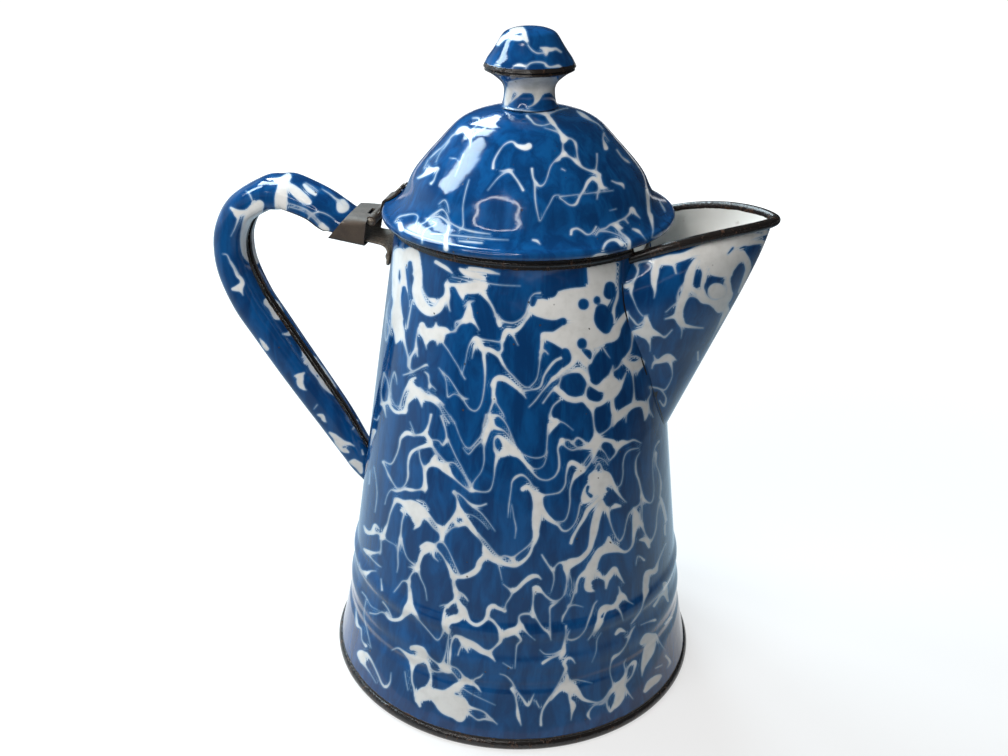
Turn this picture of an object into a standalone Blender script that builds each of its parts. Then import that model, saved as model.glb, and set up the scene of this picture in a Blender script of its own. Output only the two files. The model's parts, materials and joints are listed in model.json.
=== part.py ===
"""Enamelled sheet-steel coffee pot with a hinged lid.

The pot stands on Z = 0 with its spout towards +X and its handle towards -X.
Every sheet-metal piece, wire, pin and rivet is a solid of its own.
"""

import math

import bmesh
import bpy
from mathutils import Vector

# Driving dimensions in metres
SHEET = 0.0008
TIN = 0.0006
GAP = 0.0003
OVERRUN = 0.004
ROUND_STEPS = 40
WIRE_SIDES = 8

# Body cone, ribs and foot
FOOT_CONE_RADIUS = 0.0727
RIM_CONE_RADIUS = 0.0475
CONE_HEIGHT = 0.1842
FLARE_PROUD = 0.0022
FLARE_HEIGHT = 0.034
UPPER_RIB_HEIGHT = 0.048
UPPER_RIB_PROUD = 0.0009
UPPER_RIB_WIDTH = 0.010
LOWER_RIB_HEIGHT = 0.035
LOWER_RIB_PROUD = 0.0006
LOWER_RIB_WIDTH = 0.011
GROOVE_HEIGHT = 0.0255
GROOVE_DEPTH = 0.0005
GROOVE_WIDTH = 0.007

# Crimped foot bead and recessed bottom
FOOT_BEAD_PROUD = 0.0024
FOOT_BEAD_HEIGHT = 0.0045
FOOT_FLAT_WIDTH = 0.0026
BOTTOM_RECESS = 0.0046
CRIMP_CORNER = 0.0006

# Wired rim bead of the body
RIM_BEAD_RISE = 0.00055
RIM_BEAD_SIZE = 0.0035

# Spout
SPOUT_BEAD_REACH = 0.08885
SPOUT_HALF_WIDTH = 0.0243
SPOUT_BEAD_DROP = 0.0038
SPOUT_TIP_RISE = 0.01095
SPOUT_BEAD_RISE = 0.00275
SPOUT_TOE_HEIGHT = 0.1035
SPOUT_TOE_SINK = 0.00274
SPOUT_KEEL_TUCK = 0.0030
SPOUT_SET_IN = 0.0030
SPOUT_ROUNDNESS = 1.97
SPOUT_FULLNESS = 0.69
SEAM_WIDTH_SHARES = ((0.0, 0.16), (0.08, 0.40), (0.26, 0.67), (0.42, 0.81), (0.54, 0.98),
                     (0.73, 1.19))
SEAM_TURN_SHARE = 1.17
SEAM_END_SHARE = 0.95
SEAM_NARROWING = 0.00852

# Opening of the body wall into the spout
THROAT_SIDE_MARGIN = 0.0033
THROAT_DROP = 0.00255
THROAT_TIP_RISE = 0.0145
THROAT_TIP_HALF_WIDTH = 0.0020

# Handle, as a rolled channel
HANDLE_REACH = 0.1216
HANDLE_RISE = 0.0134
HANDLE_DEPTH = 0.0138
HANDLE_BACK_ROUNDING = 2.3
HANDLE_FRONT_ROUNDING = 3.4
HANDLE_ROOT = ((0.00298, 0.00010), (0.00797, 0.00069), (0.01271, 0.00382))
HANDLE_BACK_SHARES = ((0.085, 0.973), (0.321, 0.996), (0.450, 0.996), (0.590, 0.989), (0.836, 0.950),
                      (0.960, 0.899), (1.0, 0.847), (0.975, 0.788), (0.868, 0.719), (0.707, 0.655),
                      (0.537, 0.591), (0.363, 0.528), (0.187, 0.466))
HANDLE_FOOT_OFFSETS = (0.01116, 0.00569, -0.00577)
HANDLE_FOOT_SHARES = (0.403, 0.371, 0.320)
HANDLE_DEPTH_SHARES = ((0.0, 0.0), (0.025, 0.175), (0.055, 0.825), (0.10, 0.75), (0.16, 0.675), (0.28, 0.70),
                       (0.40, 0.875), (0.52, 1.0), (0.80, 0.80), (0.90, 0.40), (1.0, -0.20))
HANDLE_WIDTH_SHARES = ((0.0, 0.93), (0.04, 0.94), (0.07, 1.0), (0.10, 1.0), (0.22, 0.96), (0.40, 0.91), (0.70, 0.84),
                       (0.90, 0.74), (1.0, 0.66))
HANDLE_SLOT_SHARES = ((0.0, 0.93), (0.13, 0.92), (0.24, 0.34), (0.32, 0.16), (0.5, 0.14), (1.0, 0.14))
HANDLE_STATIONS = 34
HANDLE_SECTION_STEPS = 11

# Tinned sleeve that holds the upper end of the handle, its corners measured from the hinge axis
SLEEVE_HALF_WIDTH = 0.0120
SLEEVE_CLEARANCE = 0.0005
SLEEVE_LEFT_TOP = (-0.0084, 0.0020)
SLEEVE_LEFT_BOTTOM = (-0.0161, -0.0072)
SLEEVE_RIGHT_TOP = (-0.0006, 0.0013)
SLEEVE_RIGHT_BOTTOM = (-0.0020, -0.0091)
SLEEVE_SECTION_STEPS = 24
SLEEVE_STATIONS = 3

# Hinge
HINGE_OFFSET = 0.008225
HINGE_DROP = 0.00255
KNUCKLE_RADIUS = 0.0019
PIN_RADIUS = 0.0009
MIDDLE_KNUCKLE_HALF = 0.0030
OUTER_KNUCKLE_END = 0.0082
PIN_HEAD_RADIUS = 0.0014
PIN_HEAD_HEIGHT = 0.0007

# Bracket strap between the sleeve and the body
STRAP = 0.0009
STRAP_BEND = 0.0040
TONGUE_LENGTH = 0.0110
TONGUE_HALF_WIDTH = 0.0080
FLANGE_HALF_WIDTH = 0.0082
FLANGE_DROP = 0.0172
BRACKET_RIVET_MARGIN = 0.0030
BRACKET_RIVET_SPACING = 0.0100
BRACKET_HEAD_RELIEF = 0.0007

# Small rivets
RIVET_RADIUS = 0.0009
RIVET_HEAD_RADIUS = 0.0018
RIVET_HEAD_HEIGHT = 0.0009
RIVET_STEPS = 10

# Lid
LID_TILT = math.radians(1.2)
LID_FORWARD = 0.0009
LID_OVERHANG = 0.004825
LID_BEAD_SIZE = 0.0034
LID_HEIGHT = 0.0390
LID_FLAT_RADIUS = 0.0098
LID_DOME_SHARES = ((0.30, 0.967), (0.40, 0.925), (0.478, 0.865), (0.541, 0.775), (0.600, 0.672),
                   (0.690, 0.560), (0.755, 0.473), (0.795, 0.380), (0.820, 0.290), (0.855, 0.205),
                   (0.905, 0.140), (0.938, 0.105))
COLLAR_PLAY = 0.002725
COLLAR_DROP = 0.0080
COLLAR_SEAT_MARGIN = 0.0001

# Leaf of the hinge on the lid
LEAF_HALF_WIDTH = 0.0052
LEAF_REACH = 0.0077
LEAF_RIVET_MARGIN = 0.0017
LEAF_RIVET_SPACING = 0.0060
LEAF_HEAD_RELIEF = 0.0004
LEAF_HEAD_HEIGHT = 0.0005

# Knob
KNOB_SEAM_RADIUS = 0.0161
KNOB_NECK_HEIGHT = 0.0141
KNOB_CAP_HEIGHT = 0.0129
KNOB_CAP_SHARES = ((0.18, 1.0), (0.36, 0.965), (0.53, 0.88), (0.62, 0.76), (0.70, 0.60),
                   (0.80, 0.41), (0.91, 0.22), (0.975, 0.07), (1.0, 0.0))
NECK_RADIUS = 0.0090
NECK_FOOT_RADIUS = 0.0100
NECK_SHARES = ((0.08, 0.60), (0.25, 0.08), (0.50, 0.0))
NECK_FLARE_SHARES = ((0.66, 0.12), (0.80, 0.38), (0.92, 0.68), (1.0, 0.95))
KNOB_RIVET_RADIUS = 0.0022
KNOB_RIVET_HEAD_RADIUS = 0.0042
KNOB_RIVET_HEAD_HEIGHT = 0.0014
WASHER_RADIUS = 0.0060

# Sizes worked out from the driving dimensions
FOOT_BEAD_RADIUS = FOOT_CONE_RADIUS + FOOT_BEAD_PROUD
CONE_SLOPE = (FOOT_CONE_RADIUS - RIM_CONE_RADIUS) / CONE_HEIGHT
CONE_ANGLE = math.atan(CONE_SLOPE)
RIM_BEAD_HEIGHT = CONE_HEIGHT + RIM_BEAD_RISE
RIM_BEAD = RIM_BEAD_SIZE / 2
RIM_CURL = RIM_BEAD - SHEET / 2
WIRE_RADIUS = RIM_BEAD - SHEET - GAP
LID_BEAD = LID_BEAD_SIZE / 2
LID_CURL = LID_BEAD - SHEET / 2
SPOUT_REACH = SPOUT_BEAD_REACH + RIM_BEAD
SPOUT_BEAD_START = RIM_BEAD_HEIGHT - SPOUT_BEAD_DROP
SPOUT_BEAD_TIP = SPOUT_BEAD_START + SPOUT_TIP_RISE
THROAT_HALF_WIDTH = SPOUT_HALF_WIDTH - THROAT_SIDE_MARGIN
THROAT_TOP = RIM_BEAD_HEIGHT - THROAT_DROP
THROAT_TIP = SPOUT_TOE_HEIGHT + THROAT_TIP_RISE
HINGE_HEIGHT = RIM_BEAD_HEIGHT - HINGE_DROP
FLANGE_BOTTOM = HINGE_HEIGHT - FLANGE_DROP
BRACKET_RIVET_HEIGHT = FLANGE_BOTTOM + BRACKET_RIVET_MARGIN
HANDLE_TOP = HINGE_HEIGHT + HANDLE_RISE
HANDLE_ROOT_DEPTH = math.dist(SLEEVE_RIGHT_TOP, SLEEVE_RIGHT_BOTTOM) - 2 * TIN - 2 * SLEEVE_CLEARANCE
KNOB_SEAM_HEIGHT = LID_HEIGHT + KNOB_NECK_HEIGHT
KNOB_TOP = KNOB_SEAM_HEIGHT + KNOB_CAP_HEIGHT
AXIS_X = (HANDLE_REACH - SPOUT_REACH) / 2
HANDLE_WIDTH = 2 * (SLEEVE_HALF_WIDTH - TIN - SLEEVE_CLEARANCE)
HOLE_RADIUS = RIVET_RADIUS + GAP
PIN_HOLE_RADIUS = PIN_RADIUS + GAP
KNOB_HOLE_RADIUS = KNOB_RIVET_RADIUS + GAP


def wall_radius(height):
    """Outer radius of the plain cone at a height."""
    return FOOT_CONE_RADIUS - CONE_SLOPE * height


def bump(height, centre, width, proud):
    """Smooth raised band, zero beyond half its width from its centre."""
    share = (height - centre) / (width / 2)
    if abs(share) >= 1:
        return 0.0
    return proud * math.cos(share * math.pi / 2) ** 2


def body_radius(height):
    """Outer radius of the body with its ribs, groove and flared foot."""
    radius = wall_radius(height)
    radius += bump(height, UPPER_RIB_HEIGHT, UPPER_RIB_WIDTH, UPPER_RIB_PROUD)
    radius += bump(height, LOWER_RIB_HEIGHT, LOWER_RIB_WIDTH, LOWER_RIB_PROUD)
    radius -= bump(height, GROOVE_HEIGHT, GROOVE_WIDTH, GROOVE_DEPTH)
    if height < FLARE_HEIGHT:
        radius += FLARE_PROUD * (1 - height / FLARE_HEIGHT) ** 2
    return radius


# Places that follow the cone
RIM_BEAD_RADIUS = wall_radius(RIM_BEAD_HEIGHT) - SHEET / 2 + RIM_CURL
SPOUT_TOE_REACH = wall_radius(SPOUT_TOE_HEIGHT) - SPOUT_TOE_SINK
HINGE_OUT = RIM_BEAD_RADIUS + HINGE_OFFSET
HANDLE_SLEEVE_END = HINGE_OUT - SLEEVE_LEFT_BOTTOM[0]
LID_RADIUS = RIM_BEAD_RADIUS + LID_OVERHANG
COLLAR_RADIUS = wall_radius(RIM_BEAD_HEIGHT) - SHEET - COLLAR_PLAY
LEAF_END_RADIUS = LID_RADIUS - LEAF_REACH
LEAF_RIVET_RADIUS_AT = LEAF_END_RADIUS + LEAF_RIVET_MARGIN


def share_at(shares, place):
    """Value at a place on a smooth curve through a table of (place, value) pairs."""
    last = len(shares) - 1
    i = 0
    while i < last - 1 and place > shares[i + 1][0]:
        i += 1

    def slope(k):
        low, high = shares[max(k - 1, 0)], shares[min(k + 1, last)]
        return (high[1] - low[1]) / (high[0] - low[0])

    (x0, y0), (x1, y1) = shares[i], shares[i + 1]
    span = x1 - x0
    t = min(max((place - x0) / span, 0.0), 1.0)
    return (y0 * (1 + 2 * t) * (1 - t) ** 2 + slope(i) * span * t * (1 - t) ** 2
            + y1 * t * t * (3 - 2 * t) + slope(i + 1) * span * t * t * (t - 1))


def smooth_curve(points, count):
    """Evenly spaced points on a Catmull-Rom curve through plane points."""
    dense = []
    padded = [points[0]] + list(points) + [points[-1]]
    fine = 12
    for a, b, c, d in zip(padded, padded[1:], padded[2:], padded[3:]):
        for step in range(fine):
            t = step / fine
            dense.append(tuple(
                0.5 * (2 * b[k] + (c[k] - a[k]) * t
                       + (2 * a[k] - 5 * b[k] + 4 * c[k] - d[k]) * t * t
                       + (3 * b[k] - a[k] - 3 * c[k] + d[k]) * t ** 3)
                for k in range(2)))
    dense.append(points[-1])
    lengths = [0.0]
    for p, q in zip(dense, dense[1:]):
        lengths.append(lengths[-1] + math.dist(p, q))
    result = []
    i = 0
    for n in range(count):
        target = lengths[-1] * n / (count - 1)
        while i < len(dense) - 2 and lengths[i + 1] < target:
            i += 1
        part = (target - lengths[i]) / (lengths[i + 1] - lengths[i])
        p, q = dense[i], dense[i + 1]
        result.append((p[0] + (q[0] - p[0]) * part, p[1] + (q[1] - p[1]) * part))
    return result


def arc(centre, radius, start, end, steps):
    """Points on an arc, angles in degrees from +X of the plane, ends included."""
    points = []
    for n in range(steps + 1):
        angle = math.radians(start + (end - start) * n / steps)
        points.append((centre[0] + radius * math.cos(angle), centre[1] + radius * math.sin(angle)))
    return points


def side_steps(line):
    """Unit normals of an open line of plane points, on its left."""
    normals = []
    last = len(line) - 1
    for i in range(len(line)):
        before, after = line[max(i - 1, 0)], line[min(i + 1, last)]
        run, rise = after[0] - before[0], after[1] - before[1]
        length = math.hypot(run, rise)
        normals.append((-rise / length, run / length))
    return normals


def moved_aside(line, distance):
    """The line moved to its left by a distance."""
    return [(p[0] + n[0] * distance, p[1] + n[1] * distance)
            for p, n in zip(line, side_steps(line))]


def both_sides(line, thickness):
    """Closed outline of a sheet of the given thickness about an open line."""
    return moved_aside(line, thickness / 2) + moved_aside(line, -thickness / 2)[::-1]


def material(name, colour, roughness, metallic):
    """Principled material with one colour."""
    made = bpy.data.materials.new(name)
    made.use_nodes = True
    shader = made.node_tree.nodes["Principled BSDF"]
    shader.inputs["Base Color"].default_value = (*colour, 1.0)
    shader.inputs["Roughness"].default_value = roughness
    shader.inputs["Metallic"].default_value = metallic
    return made


def finished(name, verts, faces, surface, parent):
    """Object of a closed mesh, faces outward, round places shaded smooth."""
    mesh = bpy.data.meshes.new(name)
    mesh.from_pydata(verts, [], faces)
    work = bmesh.new()
    work.from_mesh(mesh)
    bmesh.ops.recalc_face_normals(work, faces=work.faces)
    work.to_mesh(mesh)
    work.free()
    mesh.shade_smooth()
    mesh.set_sharp_from_angle(angle=math.radians(35))
    mesh.materials.append(surface)
    made = bpy.data.objects.new(name, mesh)
    made.parent = parent
    bpy.context.scene.collection.objects.link(made)
    return made


def turned(name, outline, surface, parent, steps=ROUND_STEPS):
    """Solid turned about Z from an outline of (radius, height) points.

    A point of radius zero is a pole, and an outline without poles closes on itself.
    """
    verts, rings = [], []
    for radius, height in outline:
        count = 1 if radius == 0 else steps
        rings.append(range(len(verts), len(verts) + count))
        for n in range(count):
            angle = 2 * math.pi * n / steps
            verts.append((radius * math.cos(angle), radius * math.sin(angle), height))
    faces = []
    for low, high in zip(rings, rings[1:] + rings[:1]):
        if len(low) == 1 and len(high) == 1:
            continue
        for n in range(steps):
            m = (n + 1) % steps
            corners = [low[n % len(low)], low[m % len(low)], high[m % len(high)], high[n % len(high)]]
            faces.append(list(dict.fromkeys(corners)))
    return finished(name, verts, faces, surface, parent)


def lofted(name, rings, surface, parent, closed=False):
    """Solid through closed rings of points, capped at its ends unless it closes on itself."""
    count = len(rings[0])
    verts = [point for ring in rings for point in ring]
    faces = []
    last = len(rings) if closed else len(rings) - 1
    for i in range(last):
        j = (i + 1) % len(rings)
        for n in range(count):
            m = (n + 1) % count
            faces.append((i * count + n, i * count + m, j * count + m, j * count + n))
    if not closed:
        faces.append(tuple(range(count)))
        faces.append(tuple((len(rings) - 1) * count + n for n in range(count)))
    return finished(name, verts, faces, surface, parent)


def cut(target, cutter):
    """Takes a cutter's volume out of a target; the cutter is only a guide."""
    cutter.hide_render = True
    cutter.display_type = "WIRE"
    modifier = target.modifiers.new(cutter.name, "BOOLEAN")
    modifier.operation = "DIFFERENCE"
    modifier.solver = "EXACT"
    modifier.object = cutter


def fused(target, addition):
    """Joins another volume to a target; the addition is only a guide."""
    addition.hide_render = True
    addition.display_type = "WIRE"
    modifier = target.modifiers.new(addition.name, "BOOLEAN")
    modifier.operation = "UNION"
    modifier.solver = "EXACT"
    modifier.object = addition


def pivot(name, location, rotation, parent=None):
    """Empty that carries pieces."""
    made = bpy.data.objects.new(name, None)
    made.location = location
    made.rotation_euler = rotation
    made.parent = parent
    bpy.context.scene.collection.objects.link(made)
    return made


def rod(name, radius, start, end, surface, parent, steps=RIVET_STEPS):
    """Plain round bar along its own Z."""
    return turned(name, [(0, start), (radius, start), (radius, end), (0, end)], surface, parent, steps)


def knuckle(name, radius, hole, start, end, surface, parent):
    """Tube along its own Z, turned to lie along Y."""
    outline = [(hole, start), (radius, start), (radius, end), (hole, end)]
    made = turned(name, outline, surface, parent, RIVET_STEPS)
    made.rotation_euler = (-math.pi / 2, 0, 0)
    return made


def rivet(name, low, high, radius, head_radius, head_height, surface, parent):
    """Rivet along its own Z with domed heads whose flat faces lie at low and high."""
    crown = (0.62, 0.78)
    outline = [(0, low - head_height),
               (head_radius * crown[0], low - head_height * crown[1]),
               (head_radius, low), (radius, low), (radius, high), (head_radius, high),
               (head_radius * crown[0], high + head_height * crown[1]),
               (0, high + head_height)]
    return turned(name, outline, surface, parent, RIVET_STEPS)


def placed(made, location, rotation):
    """Sets a piece's place under its parent."""
    made.location = location
    made.rotation_euler = rotation
    return made


def foot_radius():
    """Outer radius of the body wall where it enters the foot bead."""
    return body_radius(FOOT_BEAD_HEIGHT)


def body_outline():
    """Outline of the body wall from its foot to the end of the rim curl."""
    floor = SHEET + GAP + GAP
    heights = {FOOT_BEAD_HEIGHT}
    flare_shares = (0.25, 0.42)
    heights.update(FLARE_HEIGHT * share for share in flare_shares)
    bands = ((GROOVE_HEIGHT, GROOVE_WIDTH), (LOWER_RIB_HEIGHT, LOWER_RIB_WIDTH),
             (UPPER_RIB_HEIGHT, UPPER_RIB_WIDTH))
    band_shares = (-1.0, -0.4, 0.4, 1.0)
    for centre, width in bands:
        heights.update(centre + width / 2 * share for share in band_shares)
    cone_shares = (0.5, 0.8)
    heights.update(RIM_BEAD_HEIGHT * share for share in cone_shares)
    line = [(foot_radius() - SHEET / 2, floor)]
    line += [(body_radius(height) - SHEET / 2, height) for height in sorted(heights)]
    line += arc((RIM_BEAD_RADIUS, RIM_BEAD_HEIGHT), RIM_CURL, 180, -75, 6)
    return both_sides(line, SHEET)


def base_outline():
    """Outline of the bottom plate: recessed disc, flat standing ring and crimped foot bead."""
    floor = SHEET + GAP
    outer_wall = foot_radius() + GAP
    inner_wall = foot_radius() - SHEET - GAP
    ring_inner = FOOT_BEAD_RADIUS - CRIMP_CORNER - FOOT_FLAT_WIDTH
    return [(0, BOTTOM_RECESS), (ring_inner - CRIMP_CORNER, BOTTOM_RECESS),
            (ring_inner - CRIMP_CORNER, CRIMP_CORNER), (ring_inner, 0),
            (ring_inner + FOOT_FLAT_WIDTH, 0),
            (FOOT_BEAD_RADIUS, 2 * CRIMP_CORNER), (FOOT_BEAD_RADIUS, FOOT_BEAD_HEIGHT - 2 * CRIMP_CORNER),
            (FOOT_BEAD_RADIUS - CRIMP_CORNER / 2, FOOT_BEAD_HEIGHT - CRIMP_CORNER / 2),
            (outer_wall, FOOT_BEAD_HEIGHT), (outer_wall, floor), (inner_wall, floor),
            (inner_wall, BOTTOM_RECESS + SHEET), (0, BOTTOM_RECESS + SHEET)]


def throat_cutter(parent):
    """Guide that opens the body wall into the spout and ends its rim bead beside the spout."""
    rim_half = SPOUT_HALF_WIDTH + RIM_BEAD + GAP
    top = RIM_BEAD_HEIGHT + RIM_BEAD + OVERRUN
    half_outline = [(THROAT_TIP_HALF_WIDTH, THROAT_TIP), (THROAT_HALF_WIDTH, THROAT_TOP),
                    (rim_half, THROAT_TOP), (rim_half, top)]
    outline = half_outline + [(-y, z) for y, z in half_outline[::-1]]
    rings = [[(x, y, z) for y, z in outline] for x in (RIM_CONE_RADIUS / 2, FOOT_CONE_RADIUS)]
    return lofted("throat_cutter", rings, None, parent)


def cone_cutter(parent):
    """Guide of the body's outside with the gap round it, for what is seated on the body."""
    low = UPPER_RIB_HEIGHT + UPPER_RIB_WIDTH
    high = RIM_BEAD_HEIGHT + SPOUT_BEAD_TIP - SPOUT_BEAD_START
    outline = [(0, low), (wall_radius(low) + GAP, low), (wall_radius(high) + GAP, high), (0, high)]
    return turned("cone_cutter", outline, None, parent)


def seam_half_width(rise):
    """Half width of the spout's seam on the body, which narrows over its last length below the rim."""
    turn = 1 - SEAM_NARROWING / (SPOUT_BEAD_START - SPOUT_TOE_HEIGHT)
    shares = SEAM_WIDTH_SHARES + ((turn, SEAM_TURN_SHARE), (1.0, SEAM_END_SHARE))
    return SPOUT_HALF_WIDTH * share_at(shares, rise)


def spout_point(rise, turn):
    """Point of the spout's sheet.

    rise is the share of the way from the toe to the rim, and turn is the angle round the spout,
    zero at the nose and a right angle where the sheet ends inside the body cone.
    """
    along = math.cos(turn)
    bend = max(along, 0.0) ** SPOUT_ROUNDNESS
    half = seam_half_width(rise)
    side = math.copysign(half * (1 - bend) ** SPOUT_FULLNESS, turn)
    seam_height = SPOUT_TOE_HEIGHT + (SPOUT_BEAD_START - SPOUT_TOE_HEIGHT) * rise
    start = math.sqrt(wall_radius(seam_height) ** 2 - half ** 2) - SPOUT_SET_IN
    keel_end = SPOUT_BEAD_REACH - RIM_CURL + SPOUT_KEEL_TUCK
    nose = SPOUT_TOE_REACH + (keel_end - SPOUT_TOE_REACH) * rise - SPOUT_KEEL_TUCK * rise ** 8
    rim_height = (SPOUT_BEAD_START + (SPOUT_BEAD_TIP - SPOUT_BEAD_START) * along
                  + SPOUT_BEAD_RISE * 4 * along * (1 - along))
    height = SPOUT_TOE_HEIGHT + (rim_height - SPOUT_TOE_HEIGHT) * rise
    return Vector((start + (nose - start) * along, side, height))


def spout_turns(steps):
    """Angles round the spout from one side of the body to the other."""
    return [math.pi * (n / steps - 0.5) for n in range(steps + 1)]


def spout_rim(turn):
    """Centre of the rim curl at a turn, with its outward and upward directions."""
    small = math.radians(2)
    limit = math.pi / 2
    along = spout_point(1.0, min(turn + small, limit)) - spout_point(1.0, max(turn - small, -limit))
    along.normalize()
    up = Vector((0, 0, 1))
    up = (up - along * up.dot(along)).normalized()
    out = along.cross(up)
    return spout_point(1.0, turn) + out * RIM_CURL, out, up


def spout_shell(surface, parent):
    """Spout as one bent sheet with a rolled rim, seated on the body cone."""
    rises = [n / 8 for n in range(9)]
    curls = [math.radians(255 * n / 5) for n in range(1, 6)]
    columns = []
    for turn in spout_turns(20):
        column = [spout_point(rise, turn) for rise in rises]
        centre, out, up = spout_rim(turn)
        column += [centre + (up * math.sin(curl) - out * math.cos(curl)) * RIM_CURL for curl in curls]
        columns.append(column)
    count = len(columns[0])
    verts = [point for column in columns for point in column]
    faces = []
    for i in range(len(columns) - 1):
        for n in range(count - 1):
            low = i * count + n
            faces.append((low, low + count, low + count + 1, low + 1))
    made = finished("spout_shell", verts, faces, surface, parent)
    solid = made.modifiers.new("sheet", "SOLIDIFY")
    solid.thickness = SHEET
    solid.offset = 0
    solid.use_even_offset = True
    return made


def tube(name, path, radius, surface, parent):
    """Round wire along a path of points, its ends flat."""
    rings = []
    for i, point in enumerate(path):
        before, after = path[max(i - 1, 0)], path[min(i + 1, len(path) - 1)]
        along = (after - before).normalized()
        up = Vector((0, 0, 1))
        up = (up - along * up.dot(along)).normalized()
        side = along.cross(up)
        ring = []
        for n in range(WIRE_SIDES):
            angle = 2 * math.pi * n / WIRE_SIDES
            ring.append(point + (side * math.cos(angle) + up * math.sin(angle)) * radius)
        rings.append(ring)
    return lofted(name, rings, surface, parent)


def handle_back():
    """Back line of the handle: its root in the sleeve, its bow and its foot on the body."""
    points = [(-HINGE_OUT - out, HINGE_HEIGHT + up) for out, up in HANDLE_ROOT]
    bow = HANDLE_REACH - HANDLE_SLEEVE_END
    points += [(-HANDLE_SLEEVE_END - bow * x, HANDLE_TOP * z) for x, z in HANDLE_BACK_SHARES]
    points += [(-wall_radius(HANDLE_TOP * z) - offset, HANDLE_TOP * z)
               for offset, z in zip(HANDLE_FOOT_OFFSETS, HANDLE_FOOT_SHARES)]
    return smooth_curve(points, HANDLE_STATIONS)


def handle_shell(surface, parent):
    """Handle as a rolled channel, rounder at its back, whose slot faces the body.

    The slot's share is its half width over the channel's.
    """
    back = handle_back()
    rings = []
    for i, (place, left) in enumerate(zip(back, side_steps(back))):
        share = i / (HANDLE_STATIONS - 1)
        out = Vector((-left[0], 0, -left[1]))
        depth = HANDLE_ROOT_DEPTH + (HANDLE_DEPTH - HANDLE_ROOT_DEPTH) * share_at(HANDLE_DEPTH_SHARES, share)
        width = HANDLE_WIDTH * share_at(HANDLE_WIDTH_SHARES, share)
        slot = share_at(HANDLE_SLOT_SHARES, share)
        limit = math.pi - math.asin(slot ** (HANDLE_FRONT_ROUNDING / 2))
        section = []
        for n in range(HANDLE_SECTION_STEPS + 1):
            angle = -limit + 2 * limit * n / HANDLE_SECTION_STEPS
            rounding = HANDLE_BACK_ROUNDING if math.cos(angle) > 0 else HANDLE_FRONT_ROUNDING
            section.append(((depth - SHEET) / 2 * eased_power(math.cos(angle), rounding),
                            (width - SHEET) / 2 * eased_power(math.sin(angle), rounding)))
        centre = Vector((place[0], 0, place[1])) - out * (depth / 2)
        rings.append([centre + out * a + Vector((0, b, 0)) for a, b in both_sides(section, SHEET)])
    return lofted("handle_shell", rings, surface, parent)


def eased_power(value, exponent):
    """Signed power that rounds a circle's coordinate towards a box."""
    return math.copysign(abs(value) ** (2 / exponent), value)


def sleeve_corner(corner):
    """Place of a corner of the sleeve."""
    return Vector((corner[0] - HINGE_OUT, 0, HINGE_HEIGHT + corner[1]))


def on_hinge(made):
    """Lays a bar along the hinge axis."""
    return placed(made, (-HINGE_OUT, 0, HINGE_HEIGHT), (-math.pi / 2, 0, 0))


def handle_clip(surface, parent):
    """Tinned sleeve, domed where the handle enters and boxed at the hinge, with two knuckles."""
    dome, box = 3.4, 8.0
    rings = []
    for n in range(SLEEVE_SECTION_STEPS):
        angle = 2 * math.pi * n / SLEEVE_SECTION_STEPS
        loop = []
        for inset in (0, TIN):
            line = []
            for station in range(SLEEVE_STATIONS):
                share = station / (SLEEVE_STATIONS - 1)
                top = sleeve_corner(SLEEVE_LEFT_TOP).lerp(sleeve_corner(SLEEVE_RIGHT_TOP), share)
                bottom = sleeve_corner(SLEEVE_LEFT_BOTTOM).lerp(sleeve_corner(SLEEVE_RIGHT_BOTTOM), share)
                rise = (top - bottom) / 2
                rise -= rise.normalized() * inset
                exponent = dome + (box - dome) * share if math.sin(angle) > 0 else box
                side = (SLEEVE_HALF_WIDTH - inset) * eased_power(math.cos(angle), exponent)
                line.append((top + bottom) / 2 + rise * eased_power(math.sin(angle), exponent)
                            + Vector((0, side, 0)))
            loop += line if inset == 0 else line[::-1]
        rings.append(loop)
    made = lofted("handle_clip", rings, surface, parent, closed=True)
    head_end = OUTER_KNUCKLE_END + GAP + PIN_HEAD_HEIGHT + GAP
    for name, start, end in (("pin_head_pocket_right", OUTER_KNUCKLE_END - GAP, head_end),
                             ("pin_head_pocket_left", -head_end, GAP - OUTER_KNUCKLE_END)):
        cut(made, on_hinge(rod(name, PIN_HEAD_RADIUS + GAP, start, end, None, parent)))
    fused(made, on_hinge(rod("knuckles", KNUCKLE_RADIUS, -OUTER_KNUCKLE_END, OUTER_KNUCKLE_END,
                             surface, parent)))
    reach = KNUCKLE_RADIUS + GAP
    back = reach + TIN
    half = MIDDLE_KNUCKLE_HALF + GAP
    sides = ((-back, -reach), (reach, -reach), (reach, reach), (-back, reach))
    notch = lofted("knuckle_notch",
                   [[(-HINGE_OUT + x, y, HINGE_HEIGHT + z) for x, z in sides] for y in (-half, half)],
                   None, parent)
    cut(made, notch)
    cut(made, on_hinge(rod("pin_bore", PIN_HOLE_RADIUS, -OUTER_KNUCKLE_END - GAP, OUTER_KNUCKLE_END + GAP,
                           None, parent)))
    return made


def sleeve_bottom():
    """Right end and left-to-right direction of the sleeve's bottom line."""
    left, right = sleeve_corner(SLEEVE_LEFT_BOTTOM), sleeve_corner(SLEEVE_RIGHT_BOTTOM)
    return right, (right - left).normalized()


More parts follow.
